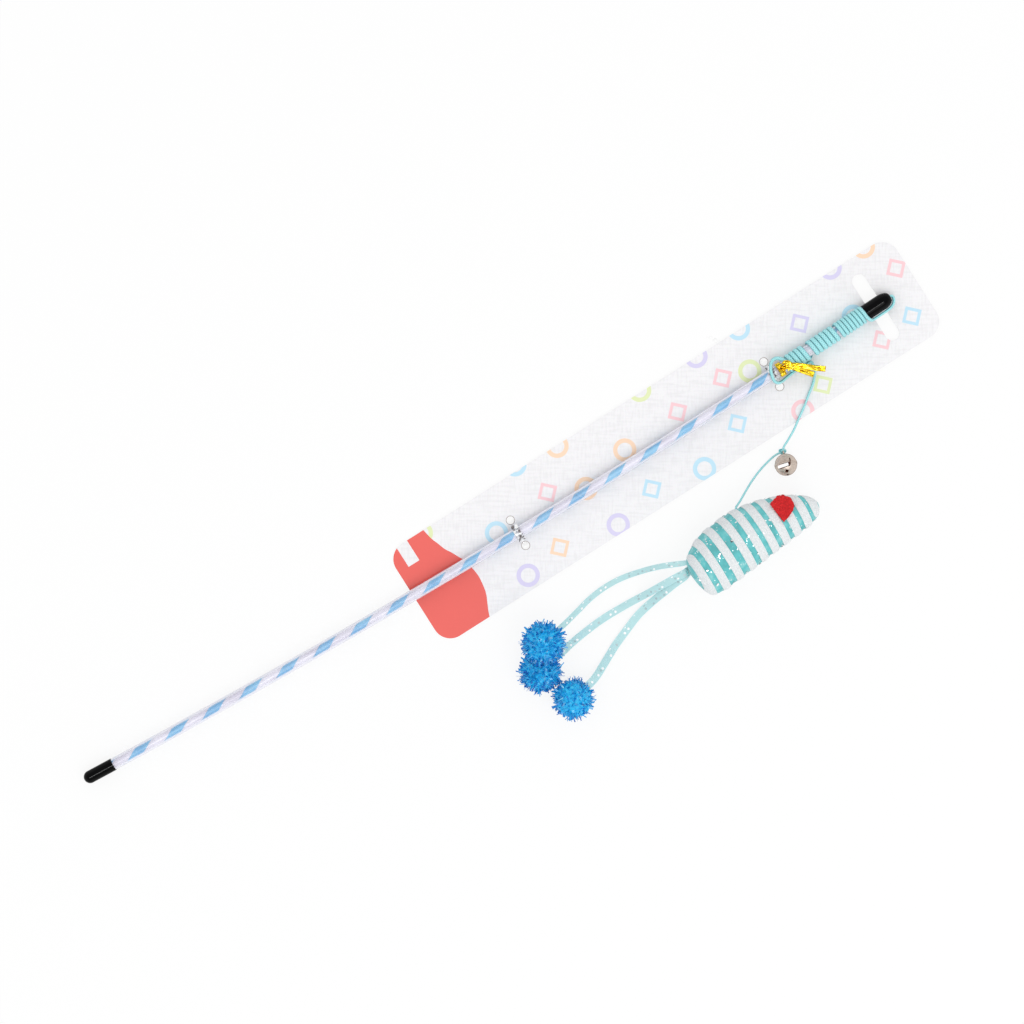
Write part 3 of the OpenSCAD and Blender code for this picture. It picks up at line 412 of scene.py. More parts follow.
def clear_film(looks):
    # Clear polyester tie: thin, nearly invisible face on, with painted white glints and painted dark brown
    # reflections along its creases
    made, add, shader, where = new_finish("clear_polyester_film",
                                          {"Roughness": 0.05, "IOR": 1.57, "Coat Weight": 1, "Coat Roughness": 0.03})
    folds = add("TexNoise", {"Scale": 520, "Detail": 2, "Distortion": 0.8, "Vector": where["Object"]})
    edge = add("LayerWeight", {"Blend": 0.3})
    # Painted glints and reflections: white and dark brown patches drawn by noise
    glint = add("ValToRGB", {"stops": ((0.42, (0.9, 0.9, 0.9, 1)), (0.46, (0.1, 0.1, 0.1, 1)),
                                       (0.54, (0.1, 0.1, 0.1, 1)), (0.58, (1, 1, 1, 1))), "Fac": folds})
    shade = add("ValToRGB", {"stops": ((0.43, srgb("#4B3B3A")), (0.47, looks.film)), "Fac": folds})
    apart = add("SeparateXYZ", {"Vector": where["Object"]})
    bent = add("MapRange", {"From Min": 0.004, "From Max": 0.0055, "To Min": 0.04, "To Max": 1,
                            "Value": apart.outputs["Z"]})
    rim = add("MapRange", {"To Min": 0.05, "To Max": 0.5, "Value": edge.outputs["Facing"]})
    # The film shows where it is bent over the rod, and hardly on the card
    most = add("Math", {"operation": "MAXIMUM", 0: glint, 1: rim})
    dense = add("Math", {"operation": "MULTIPLY", 0: most, 1: bent})
    bump = add("Bump", {"Strength": 0.9, "Distance": 0.0004, "Height": folds})
    fill(shader, {"Base Color": shade, "Alpha": dense, "Normal": bump})
    return made


def plated_steel(name, colour, dull):
    # Nickel-plated pressed steel: warm satin grey, faintly uneven from the press, with painted brown shade towards
    # its edges as seen
    made, add, shader, where = new_finish(name, {"Metallic": 1})
    press = add("TexNoise", {"Scale": 420, "Detail": 2, "Vector": where["Object"]})
    rubs = add("TexNoise", {"Scale": 1500, "Detail": 5, "Vector": where["Object"]})
    ramp = add("ValToRGB", {"stops": ((0.35, shaded(colour, 0.8)), (0.6, colour)), "Fac": rubs})
    # Painted shade: the plating turns brown towards its edges as seen
    edge = add("LayerWeight", {"Blend": 0.5})
    turned = add("ValToRGB", {"stops": ((0.62, (1, 1, 1, 1)), (0.95, srgb("#96705F"))),
                              "Fac": edge.outputs["Facing"]})
    edge_shaded_plating = add("MixRGB", {"blend_type": "MULTIPLY", "Fac": 1, "Color1": ramp, "Color2": turned})
    rough = add("MapRange", {"To Min": dull, "To Max": dull + 0.2, "Value": rubs})
    bump = add("Bump", {"Strength": 0.12, "Distance": 0.0004, "Height": press})
    fill(shader, {"Base Color": edge_shaded_plating, "Roughness": rough, "Normal": bump})
    return made


def bell_inside(name, colour, metal):
    # Steel inside the bell in painted shade, with a painted white glow standing in for the light that falls in under
    # the long slot
    made, add, shader, where = new_finish(name, {"Base Color": colour, "Roughness": 0.4, "Metallic": metal,
                                                 "Emission Color": srgb("#FFFFFF")})
    bearing, lean, length = BELL_SLOTS[0][:3]
    bearing, reach = math.radians(bearing), BELL_R * math.sin(math.radians(lean))
    middle = BELL_AT + Vector((math.cos(bearing), math.sin(bearing), 0)) * reach
    under = add("Mapping", {"vector_type": "TEXTURE", "Rotation": (0, 0, bearing), "Scale": (MM, MM, MM),
                            "Location": middle, "Vector": where["Object"]})
    apart = add("SeparateXYZ", {"Vector": under})
    sides = [add("Math", {"operation": "COMPARE", 0: apart.outputs[axis], 1: 0, 2: half})
             for axis, half in (("X", length / 2 - 0.25), ("Y", 0.68))]
    lit = add("Math", {"operation": "MULTIPLY", 0: sides[0], 1: sides[1]})
    fill(shader, {"Emission Strength": lit})
    return made


def glitter_cloth(looks):
    # Knitted polyester with metal grains: soft teal, 0.6 mm knit, scattered specks that flash
    made, add, shader, where = new_finish("glitter_knit", {"Sheen Weight": 0.3, "Sheen Roughness": 0.4})
    knit = add("TexVoronoi", {"Scale": 1600, "Randomness": 0.4, "Vector": where["Object"]})
    grains = add("TexVoronoi", {"Scale": 1900, "Vector": where["Object"]})
    cloud = add("TexNoise", {"Scale": 230, "Detail": 4, "Vector": where["Object"]})
    pick = add("SeparateColor", {"Color": grains.outputs["Color"]})
    flash = add("Math", {"operation": "GREATER_THAN", 0: pick.outputs["Red"], 1: 0.965})
    dye = add("ValToRGB", {"stops": ((0.3, shaded(looks.cover, 0.8)), (0.52, looks.cover), (0.8, srgb("#A8DDDD"))),
                           "Fac": cloud})
    speck = add("MixRGB", {"Color2": srgb("#EAF6F6"), "Fac": flash, "Color1": dye})
    rough = add("MapRange", {"To Min": 0.85, "To Max": 0.25, "Value": flash})
    bump = add("Bump", {"Strength": 0.6, "Distance": 0.0003, "Height": knit})
    fill(shader, {"Base Color": speck, "Roughness": rough, "Metallic": flash, "Normal": bump})
    return made


def terry_yarn(name, colour, deep):
    # Looped cotton terry: matte and chalky, 0.5 mm loops with painted shade between them
    made, add, shader, where = new_finish(name, {"Roughness": 0.95, "Sheen Weight": 0.4, "Sheen Roughness": 0.5})
    loops = add("TexVoronoi", {"Scale": 1900, "Randomness": 0.9, "Vector": where["Object"]})
    fibre = add("TexNoise", {"Scale": 4200, "Detail": 4, "Vector": where["Object"]})
    pile = add("Math", {"operation": "MULTIPLY_ADD", 0: loops, 1: -0.9, 2: fibre})
    ramp = add("ValToRGB", {"stops": ((0, deep), (0.26, colour)), "Fac": pile})
    bump = add("Bump", {"Strength": 0.8, "Distance": 0.0003, "Height": pile})
    fill(shader, {"Base Color": ramp, "Normal": bump})
    return made


def wool_felt(looks):
    # Pressed felt: saturated and flat, with short fibres lying every way and a soft fuzz at its edge
    made, add, shader, where = new_finish("pressed_felt", {"Roughness": 0.95, "Sheen Weight": 0.35,
                                                           "Sheen Roughness": 0.35, "Sheen Tint": srgb("#FF7A70")})
    mat = add("TexNoise", {"Scale": 900, "Detail": 6, "Distortion": 1.6, "Vector": where["Object"]})
    ramp = add("ValToRGB", {"stops": ((0.3, shaded(looks.felt, 0.6)), (0.55, looks.felt), (0.8, srgb("#EE3A38"))),
                            "Fac": mat})
    bump = add("Bump", {"Strength": 0.7, "Distance": 0.0003, "Height": mat})
    fill(shader, {"Base Color": ramp, "Normal": bump})
    return made


def organza(looks):
    # Sheer woven organza: crisp and half see-through, 0.45 mm mesh drawn coarser than it is, denser woven
    # edges, and scattered 1 mm dots of white and silver print
    made, add, shader, where = new_finish("printed_organza", {"Roughness": 0.5, "Sheen Weight": 0.4})
    apart = add("SeparateXYZ", {"Vector": where["UV"]})
    across, along = apart.outputs["X"], apart.outputs["Y"]
    threads = []
    for source, pitch in ((across, 0.15), (along, 0.45)):
        turn = add("Math", {"operation": "MULTIPLY", 0: source, 1: math.tau / pitch})
        wave = add("Math", {"operation": "SINE", 0: turn})
        threads.append(wave)
    weave = add("Math", {"operation": "MAXIMUM", 0: threads[0], 1: threads[1]})
    wide = add("Mapping", {"Scale": (3.3, 1, 1), "Vector": where["UV"]})
    cells = add("TexVoronoi", {"voronoi_dimensions": "2D", "Scale": 0.44, "Randomness": 0.7, "Vector": wide})
    chance = add("SeparateColor", {"Color": cells.outputs["Color"]})
    near = add("Math", {"operation": "LESS_THAN", 0: cells, 1: 0.235})
    some = add("Math", {"operation": "GREATER_THAN", 0: chance.outputs["Red"], 1: 0.35})
    amid = add("Math", {"operation": "COMPARE", 0: across, 1: 0.5, 2: 0.37})
    kept = add("Math", {"operation": "MULTIPLY", 0: near, 1: some})
    dot = add("Math", {"operation": "MULTIPLY", 0: kept, 1: amid})
    silver = add("ValToRGB", {"stops": ((0.3, srgb("#A9C3C8")), (0.4, srgb("#FFFFFF"))),
                              "Fac": chance.outputs["Green"]})
    hem = add("Math", {"operation": "COMPARE", 0: across, 1: 0.5, 2: 0.42})
    sheer = add("MapRange", {"From Min": -1, "To Min": 0.38, "To Max": 0.7, "Value": weave})
    sheer_in = add("Math", {"operation": "SUBTRACT", "use_clamp": True, 0: 1.9, 1: hem})
    solid = add("Math", {"operation": "MAXIMUM", 0: sheer, 1: sheer_in})
    opaque = add("Math", {"operation": "MAXIMUM", 0: solid, 1: dot})
    thread = add("ValToRGB", {"stops": ((0, shaded(looks.gauze, 0.86)), (0.8, looks.gauze)), "Fac": weave})
    dye = add("MixRGB", {"Fac": dot, "Color1": thread, "Color2": silver})
    bump = add("Bump", {"Strength": 0.4, "Distance": 0.0001, "Height": weave})
    fill(shader, {"Base Color": dye, "Alpha": opaque, "Normal": bump})
    return made


def tinsel_film(looks):
    # Slit metallised film: each strand a blue drawn at random, from navy to cyan and pale cyan, as painted dark and
    # bright reflections
    made, add, shader, where = new_finish("blue_tinsel_film",
                                          {"Roughness": 0.28, "IOR": 1.6, "Specular IOR Level": 0.3})
    apart = add("SeparateXYZ", {"Vector": where["UV"]})
    ramp = add("ValToRGB", {"stops": ((0, srgb("#1A70C6")), (0.14, srgb("#1690DC")), (0.34, looks.tinsel),
                                      (0.85, srgb("#38CAF8")), (1, srgb("#A6E6FB"))), "Fac": apart.outputs["X"]})
    # Painted shade and glints: strands darken towards the pom-pom's middle, as shade, and again at their tips, as
    # dark glints
    tips = add("ValToRGB", {"stops": ((0.6, srgb("#C9E2F4")), (0.8, (1, 1, 1, 1)), (1, srgb("#96B8E0"))),
                            "Fac": apart.outputs["Y"]})
    both = add("MixRGB", {"blend_type": "MULTIPLY", "Fac": 1, "Color1": ramp, "Color2": tips})
    fill(shader, {"Base Color": both})
    return made


def silver_flake():
    # Cut metallised polyester flakes: bright silver, with painted dark reflections in patches drawn at random
    made, add, shader, where = new_finish("silver_polyester_flake", {"Metallic": 0.4, "Roughness": 0.25})
    patch = add("TexVoronoi", {"Scale": 700, "Vector": where["Object"]})
    pick = add("SeparateColor", {"Color": patch.outputs["Color"]})
    ramp = add("ValToRGB", {"stops": ((0.1, srgb("#5F7478")), (0.2, srgb("#FBFDFD"))), "Fac": pick.outputs["Red"]})
    fill(shader, {"Base Color": ramp})
    return made


# ---------------------------------------------------------------- shapes

def at(x, y, z):
    """A place measured from the wand's tip in mm, in metres in the frame."""
    return Vector((x + TIP[0], y + TIP[1], z)) * MM


def round_wand(x, r, angle):
    """A place on a circle round the bowed rod."""
    bend = math.asin((x + WAND_LENGTH / 2) / BOW_R)
    side = BOW_R - WAND_BOW - BOW_R * math.cos(bend)
    a = math.radians(angle)
    return at(x - r * math.cos(a) * math.sin(bend), side + r * math.cos(a) * math.cos(bend),
              WAND_Z + r * math.sin(a))


def smooth_path(points, steps):
    """A smooth path through points, in so many steps from one to the next."""
    found = []
    for i in range(len(points) - 1):
        a, b, c, d = (points[max(i - 1, 0)], points[i], points[i + 1], points[min(i + 2, len(points) - 1)])
        for k in range(steps):
            t = k / steps
            found.append((b * 2 + (c - a) * t + (a * 2 - b * 5 + c * 4 - d) * t ** 2
                          + (b * 3 - c * 3 + d - a) * t ** 3) * 0.5)
    return found + [points[-1]]


def carried(path, known):
    """Tangents and normals along a path; a normal that isn't known is carried on from its neighbour."""
    last = len(path) - 1
    tangents = [(path[min(i + 1, last)] - path[max(i - 1, 0)]).normalized() for i in range(len(path))]
    normals = [known.get(i) for i in range(len(path))]
    if not known:
        normals[0] = Vector((0, 0, 1)) if abs(tangents[0].z) < 0.9 else Vector((1, 0, 0))
    for order in (range(len(path)), range(last, -1, -1)):
        held = None
        for i in order:
            normals[i] = normals[i] or held
            if normals[i]:
                held = normals[i] = (normals[i] - tangents[i] * normals[i].dot(tangents[i])).normalized()
    return tangents, normals


def link_mesh(name, mesh):
    """Turns a bmesh into a linked object at the origin."""
    data = bpy.data.meshes.new(name)
    mesh.to_mesh(data)
    mesh.free()
    made = bpy.data.objects.new(name, data)
    bpy.context.scene.collection.objects.link(made)
    return made


def rolled(path, roll_at):
    """Normals along a path that lies flat but for its roll, in degrees at each place."""
    up = {}
    for k in range(len(path)):
        run = (path[min(k + 1, len(path) - 1)] - path[max(k - 1, 0)]).normalized()
        side = Matrix.Rotation(math.radians(roll_at(k)), 3, run) @ Vector((0, 0, 1)).cross(run).normalized()
        up[k] = run.cross(side)
    return up


def skinned(name, rings, across=None):
    """A closed skin over rings of places, with a map of shares across and mm along."""
    mesh = bmesh.new()
    lay = mesh.loops.layers.uv.new("lay")
    count = len(rings[0])
    across = across or [k / count for k in range(count + 1)]
    middles = [sum(ring, Vector()) / count for ring in rings]
    along = [0.0]
    for before, after in zip(middles, middles[1:]):
        along.append(along[-1] + (after - before).length / MM)
    made = [[mesh.verts.new(place) for place in ring] for ring in rings]
    for i in range(len(rings) - 1):
        for k in range(count):
            n = (k + 1) % count
            face = mesh.faces.new((made[i][k], made[i][n], made[i + 1][n], made[i + 1][k]))
            face.smooth = True
            for loop, (u, v) in zip(face.loops, ((k, i), (k + 1, i), (k + 1, i + 1), (k, i + 1))):
                loop[lay].uv = across[u], along[v]
    mesh.faces.new(list(reversed(made[0])))
    mesh.faces.new(made[-1])
    bmesh.ops.recalc_face_normals(mesh, faces=mesh.faces)
    return link_mesh(name, mesh)


def swept(name, path, section, known=None, across=None):
    """A skin swept along a path; section gives sideways and outward offsets in metres for a share of it."""
    tangents, normals = carried(path, known or {})
    rings = []
    for i, place in enumerate(path):
        side = tangents[i].cross(normals[i])
        rings.append([place + side * s + normals[i] * u for s, u in section(i / (len(path) - 1))])
    return skinned(name, rings, across)


def oval(width, height, sides=14):
    return [(width / 2 * math.cos(math.tau * k / sides), height / 2 * math.sin(math.tau * k / sides))
            for k in range(sides)]


def shares_round(marks):
    """Shares across for a section that runs out along its marks and back."""
    shares = [(m + 1) / 2 for m in marks]
    return shares + shares[::-1] + [0]


FOIL_MARKS = (-1, -0.62, -0.3, 0.05, 0.4, 0.72, 1)
FOIL_FOLDS = (0, 0.16, -0.05, 0.2, 0.02, 0.17, -0.02)
FOIL_SHARES = shares_round(FOIL_MARKS)


def foil_section(width, folded):
    """A strip of creased foil across its run."""
    top = [(m * width / 2, (f * folded + 0.05) * MM) for m, f in zip(FOIL_MARKS, FOIL_FOLDS)]
    return top + [(s, u - 0.1 * MM) for s, u in reversed(top)]


def spun(degrees, axis):
    return Matrix.Rotation(math.radians(degrees), 4, axis)


def choose_only(obj):
    bpy.ops.object.select_all(action="DESELECT")
    obj.select_set(True)
    bpy.context.view_layer.objects.active = obj


def modified(obj, kind, settings):
    """Adds one modifier and applies it."""
    choose_only(obj)
    made = obj.modifiers.new(kind.title(), kind)
    for key, value in settings.items():
        setattr(made, key, value)
    bpy.ops.object.modifier_apply(modifier=made.name)


def copy_of(name, node, voxel):
    """A copy of a solid's mesh, its loose triangles merged and remeshed to even faces."""
    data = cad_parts[node].data.copy()
    data.name = name
    data.materials.clear()
    made = bpy.data.objects.new(name, data)
    bpy.context.scene.collection.objects.link(made)
    mesh = bmesh.new()
    mesh.from_mesh(data)
    bmesh.ops.remove_doubles(mesh, verts=mesh.verts, dist=1e-6)
    mesh.to_mesh(data)
    mesh.free()
    modified(made, "REMESH", {"mode": "VOXEL", "voxel_size": voxel * MM})
    return made


def roughened(obj, height, grain, seed, floor=0.0):
    """Moves each point along its normal by noise of one grain, but not below the floor."""
    shift = Vector((seed, seed * 0.7, 0))
    ways = [point.normal.copy() for point in obj.data.vertices]
    for point, way in zip(obj.data.vertices, ways):
        point.co += way * noise.noise(point.co / (grain * MM) + shift) * height * MM
        point.co.z = max(point.co.z, floor)
    for face in obj.data.polygons:
        face.use_smooth = True
    obj.data.update()


def dress(obj, body, material, slot, *nodes):
    """Gives a piece its finish, its body and the solids that it stands for; its slot is not used."""
    if material:
        obj.data.materials.clear()
        obj.data.materials.append(material)
    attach(obj, body)
    if nodes:
        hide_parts(*nodes)


def repaint(node, material):
    """Gives a kept solid a finish."""
    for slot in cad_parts[node].material_slots:
        slot.material = material


def looked_up(table, share):
    """Reads a table of places, straight between its rows."""
    share = min(max(share, table[0][0]), table[-1][0])
    for low, high in zip(table, table[1:]):
        if share <= high[0]:
            t = (share - low[0]) / ((high[0] - low[0]) or 1)
            return [a + (b - a) * t for a, b in zip(low[1:], high[1:])]


BODY_FINE = [tuple(p) for p in smooth_path([Vector(row) for row in BODY], 5)]


def mouse_place(share, angle, out):
    """A place on the mouse's body, so many mm out of its cover; 90 degrees is up."""
    back, belly = looked_up(BODY_FINE, share)
    half = max(SKIN_H * (back - belly) / 2 + out, 0.02)
    a = math.radians(angle)
    local = Vector((share * MOUSE_LENGTH, WRAP_STAND + SKIN_H * (back + belly) / 2 + half * math.cos(a),
                    MOUSE_MID + half * SKIN_W / SKIN_H * math.sin(a)))
    turned = Matrix.Rotation(math.radians(MOUSE_TURN), 3, "Z") @ local
    found = at(MOUSE_AT[0] + turned.x, MOUSE_AT[1] + turned.y, turned.z)
    found.z = max(found.z, 0.04 * MM)
    return found


def wrap_share(turns, angle):
    """Where the wrap's middle runs: nearly square across the side in view."""
    a, start = math.radians(angle), min(1, 0.5 + turns, 0.6 + 0.8 * (WRAP_TURNS - turns))
    lean = WRAP_LEAN[0] * math.sin(a) + WRAP_LEAN[1] * start * math.cos(a)
    return looked_up(WRAP, turns / WRAP_TURNS)[0] + lean / MOUSE_LENGTH


def knotted(name, middle, size_mm, cord_mm, drawn=1, steps=60):
    """A small closed overhand knot, drawn out to the picture's right."""
    path = []
    for k in range(steps):
        a = math.tau * k / steps
        r = size_mm * (0.62 + 0.3 * math.cos(3 * a))
        place = middle + Vector((r * math.cos(2 * a), r * math.sin(2 * a), size_mm * 0.36 * math.sin(3 * a))) * MM
        path.append(place + PICTURE_RIGHT * (place - middle).dot(PICTURE_RIGHT) * (drawn - 1))
    return swept(name, path + [path[0]], lambda share: oval(cord_mm * MM, cord_mm * MM, 10))


def press_slot(length, width, height):
    """A cutter with round ends, standing on its own Z axis."""
    bpy.ops.object.select_all(action="DESELECT")
    bpy.ops.mesh.primitive_cube_add(size=1)
    made = bpy.context.object
    made.data.transform(Matrix.Diagonal((length, width, height, 1)))
    bpy.ops.object.mode_set(mode="EDIT")
    bpy.ops.mesh.select_mode(type="EDGE")
    bpy.ops.mesh.select_all(action="DESELECT")
    mesh = bmesh.from_edit_mesh(made.data)
    for edge in mesh.edges:
        if abs(edge.verts[0].co.z - edge.verts[1].co.z) > height / 2:
            edge.select_set(True)
    bmesh.update_edit_mesh(made.data)
    bpy.ops.mesh.bevel(offset=width * 0.49, segments=8, affect="EDGES")
    bpy.ops.object.mode_set(mode="OBJECT")
    return made


# ---------------------------------------------------------------- operators

class WandStage(bpy.types.Operator):
    """Sets the camera above the wand, the paper under it and the light round it"""
    bl_idname = "wand.stage"
    bl_label = "Camera, paper and light"

    def execute(self, context):
        looks = context.scene.wand_studio
        lens = bpy.data.cameras.new("camera_above")
        lens.lens, lens.sensor_width = looks.lens / MM, 36
        camera = bpy.data.objects.new("camera_above", lens)
        camera.location = (CAMERA_AT[0] * MM, CAMERA_AT[1] * MM, looks.camera_height)
        camera.rotation_euler = (0, 0, math.radians(CAMERA_TURN))
        context.scene.collection.objects.link(camera)
        context.scene.camera = camera
        context.scene.view_settings.view_transform = "Standard"

        bpy.ops.object.select_all(action="DESELECT")
        bpy.ops.mesh.primitive_plane_add(size=8, location=(0, 0, 0))
        floor = context.object
        floor.name = "studio_floor"
        paper, add, shader, _ = new_finish("seamless_paper", {"Base Color": looks.paper, "Roughness": 0.9})
        share = add("Math", {"operation": "MULTIPLY", 0: direct_rays(add), 1: 0.85})
        glow = add("Emission", {"Color": (1, 1, 1, 1), "Strength": 1})
        mix = add("MixShader", {"Fac": share, 1: shader, 2: glow})
        fill(paper.node_tree.nodes["Material Output"], {"Surface": mix})
        floor.data.materials.append(paper)

        world = bpy.data.worlds.new("white_studio")
        context.scene.world = world
        world.use_nodes = True
        add = functools.partial(add_node, world.node_tree)
        level = add("MapRange", {"To Min": looks.sky, "To Max": 1, "Value": direct_rays(add)})
        fill(world.node_tree.nodes["Background"], {"Color": (1, 1, 1, 1), "Strength": level})

        for name, place, power, width, length in (
                ("key_softbox", (0.1, -0.7, 1.5), looks.key, 1.1, 1.1),
                ("overhead_strip", (0, -0.5, 2.4), looks.key * 3.2, 0.12, 2.2)):
            lamp = bpy.data.lights.new(name, "AREA")
            lamp.shape, lamp.size, lamp.size_y, lamp.energy = "RECTANGLE", length, width, power
            made = bpy.data.objects.new(name, lamp)
            made.location = place
            made.rotation_euler = (-Vector(place)).to_track_quat("-Z", "Y").to_euler()
            made.visible_diffuse = name == "key_softbox"
            context.scene.collection.objects.link(made)

        bpy.ops.object.select_all(action="DESELECT")
        bpy.ops.mesh.primitive_plane_add(size=9, location=(0, 0, 2.6))
        flag = context.object
        flag.name = "studio_ceiling"
        flag.data.materials.append(new_finish("grey_ceiling_paint", {
            "Base Color": srgb("#000000"), "Emission Color": srgb("#FFFFFF"), "Emission Strength": 0.5})[0])
        for ray in ("camera", "diffuse", "shadow", "transmission", "volume_scatter"):
            setattr(flag, "visible_" + ray, False)
        return {"FINISHED"}


class WandCords(bpy.types.Operator):
    """Winds the elastic cord round the rod and leads it over the bell's knot to the mouse"""
    bl_idname = "wand.cords"
    bl_label = "Cords and knots"

    def execute(self, context):
        looks = context.scene.wand_cords
        elastic = braided_elastic(looks)
        path = [round_wand(*row) for row in LEAD]
        known, spread = {}, []
        x, turn = WINDING_START, 0
        for turns, pitch in WINDING_RUNS:
            for _ in range(round(turns * WINDING_STEPS)):
                angle = 90 - 360 * turn / WINDING_STEPS
                known[len(path)] = round_wand(x, 2, angle) - round_wand(x, 1, angle)
                path.append(round_wand(x, WINDING_R, angle))
                spread.append(min(pitch, 2.2) * MM - looks.winding_gap)
                x -= pitch / WINDING_STEPS
                turn += 1
        path += [at(*row) for row in LOOP + (CORD_EXIT,)]
        high, fade = looks.winding_height, 12
        fine = smooth_path(path, 2)
        held = {i * 2: normal for i, normal in known.items()}
        first, last = min(held), max(held)

        def pressed(share):
            """The cord's section: flattened where it is wound, round where it is loose."""
            i = share * (len(fine) - 1)
            flat = min(max((i - first + fade) / fade, 0), max((last + fade - i) / fade, 0), 1)
            near = [spread[min(max(round((i - first) / 2) + k, 0), len(spread) - 1)] for k in (-5, 0, 5)]
            return oval(high + (sum(near) / 3 - high) * flat, high * (0.94 + 0.06 * flat), 12)
        winding = swept("wound_cord", fine, pressed, held)
        dress(winding, "wand", elastic, "teal_cord", "cord_winding")

        knot = knotted("bell_knot", at(*KNOT), 1.05, 0.9, 1.5)
        dress(knot, "upper_line", elastic, "teal_cord", "cord_knot")
        inner = knotted("cap_knot", round_wand(-6.5, 0, 0), 0.95, 0.8)
        dress(inner, "wand", elastic, "teal_cord", "anchor_knot")

        for name, body, node, route, thick, thin, end, goes in (
                ("free_cord", "upper_line", "upper_cord", (CORD_EXIT,) + UPPER + (KNOT,),
                 looks.cord_width, looks.cord_width * 0.82, "knot", (knot,)),
                ("toy_cord", "lower_line", "lower_cord", (KNOT,) + LOWER + (MOUSE_END,),
                 looks.toy_cord_width * 0.9, looks.toy_cord_width, "object", ())):
            places = [at(*row) for row in route]
            cord = swept(name, smooth_path(places, 4),
                         lambda share: oval(thick + (thin - thick) * share, thick + (thin - thick) * share, 12))
            dress(cord, body, elastic, "teal_cord", node)
        return {"FINISHED"}


class WandRibbons(bpy.types.Operator):
    """Lays the three sheer tail ribbons"""
    bl_idname = "wand.ribbons"
    bl_label = "Tail ribbons"

    def execute(self, context):
        looks = context.scene.wand_tails
        gauze = organza(looks)
        for i, route in enumerate(RIBBONS):
            places = [at(*row) for row in route]
            fine = smooth_path(places, 4)
            up = rolled(fine, lambda k: 9 * math.sin(k * 0.21 + 2 * i))
            half, thin = looks.ribbon_width * (0.8, 1.03, 1.12)[i] / 2, looks.ribbon_thickness / 2
            marks = (-1, -0.93, -0.5, 0, 0.5, 0.93, 1)
            section = ([(m * half, (1.3 * (1 - m * m) + 0.5) * thin) for m in marks]
                       + [(m * half, (1.3 * (1 - m * m) - 1.5) * thin) for m in reversed(marks)])
            ribbon = swept("sheer_ribbon_%d" % (i + 1), fine,
                           lambda share: [(s * min(1, 0.72 + share * 4), u) for s, u in section], up,
                           shares_round(marks))
            dress(ribbon, TAIL_BODIES[i], gauze, "teal_ribbon", "tail_ribbon_%d" % (i + 1))
        return {"FINISHED"}


class WandRod(bpy.types.Operator):
    """Finishes the rod's sleeve, core, stripe and both caps"""
    bl_idname = "wand.rod"
    bl_label = "Rod and caps"

    def execute(self, context):
        looks = context.scene.wand_rod
        repaint("rod_sleeve", clear_pvc(looks))
        repaint("rod_core", drawn_tube("extruded_pearl_abs", looks.core, srgb("#D9D5E4"), 0.35))
        repaint("rod_stripe", drawn_tube("wound_blue_film", looks.stripe, srgb("#5EAFE0"), 0.3))
        cap = black_pvc(looks)
        repaint("butt_cap", cap)
        repaint("tip_cap", cap)
        return {"FINISHED"}


class WandCard(bpy.types.Operator):
    """Prints the hanging card"""
    bl_idname = "wand.card"
    bl_label = "Hanging card"

    def execute(self, context):
        repaint("hang_card", linen_board(context.scene.wand_card))
        return {"FINISHED"}


class WandTies(bpy.types.Operator):
    """Creases the clear ties and the gold tie"""
    bl_idname = "wand.ties"
    bl_label = "Ties"

    def execute(self, context):
        looks = context.scene.wand_ties
        film = clear_film(looks)
        for name, node, seed in (("clear_tie_lower", "lower_tie", 3), ("clear_tie_upper", "upper_tie", 8)):
            tie = copy_of(name, node, 0.16)
            modified(tie, "SMOOTH", {"factor": 0.5, "iterations": 3})
            roughened(tie, 0.16, 1.3, seed, 0.02 * MM)
            dress(tie, "wand", film, "clear_tie", node)
        gold = gold_foil(looks)
        middle = round_wand(-58, 0, 0)
        # What the loop holds, as middle and radius: the rod, and the cord's loop on its side
        rounds = ((0, 0, 2.84), (-2.35, 3.0, 1.12))
        loop, hug, steps = [], {}, 48
        for k in range(steps + 1):
            a = math.tau * (0.25 + k / steps)
            way = (math.cos(a), math.sin(a))
            y, z, r = max(rounds, key=lambda c: c[0] * way[0] + c[1] * way[1] + c[2])
            loop.append(middle + Vector((0, y + r * way[0], z + r * way[1])) * MM)
            hug[k] = Vector((0, *way))
        strips = [swept("gold_foil_loop", loop, lambda share: foil_section(looks.foil_width, 0.6), hug, FOIL_SHARES)]
        for i, (route, wide, twist) in enumerate(zip(GOLD_TAILS, (1, 1, 0.8), (220, -260, 300))):
            fine = smooth_path([at(*row) for row in route], 8)
            up = rolled(fine, lambda k: twist * max(0, 1 - k / (len(fine) * 0.42)) ** 1.3
                        + 8 * math.sin(k * 0.5 + i))
            strips.append(swept("gold_foil_tail_%d" % (i + 1), fine, lambda share: foil_section(
                looks.foil_width * wide * min(1, 0.6 + share * 1.2), 1), up, FOIL_SHARES))
        for strip in strips:
            dress(strip, "wand", gold, "gold_foil")
        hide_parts("gold_tie")
        return {"FINISHED"}


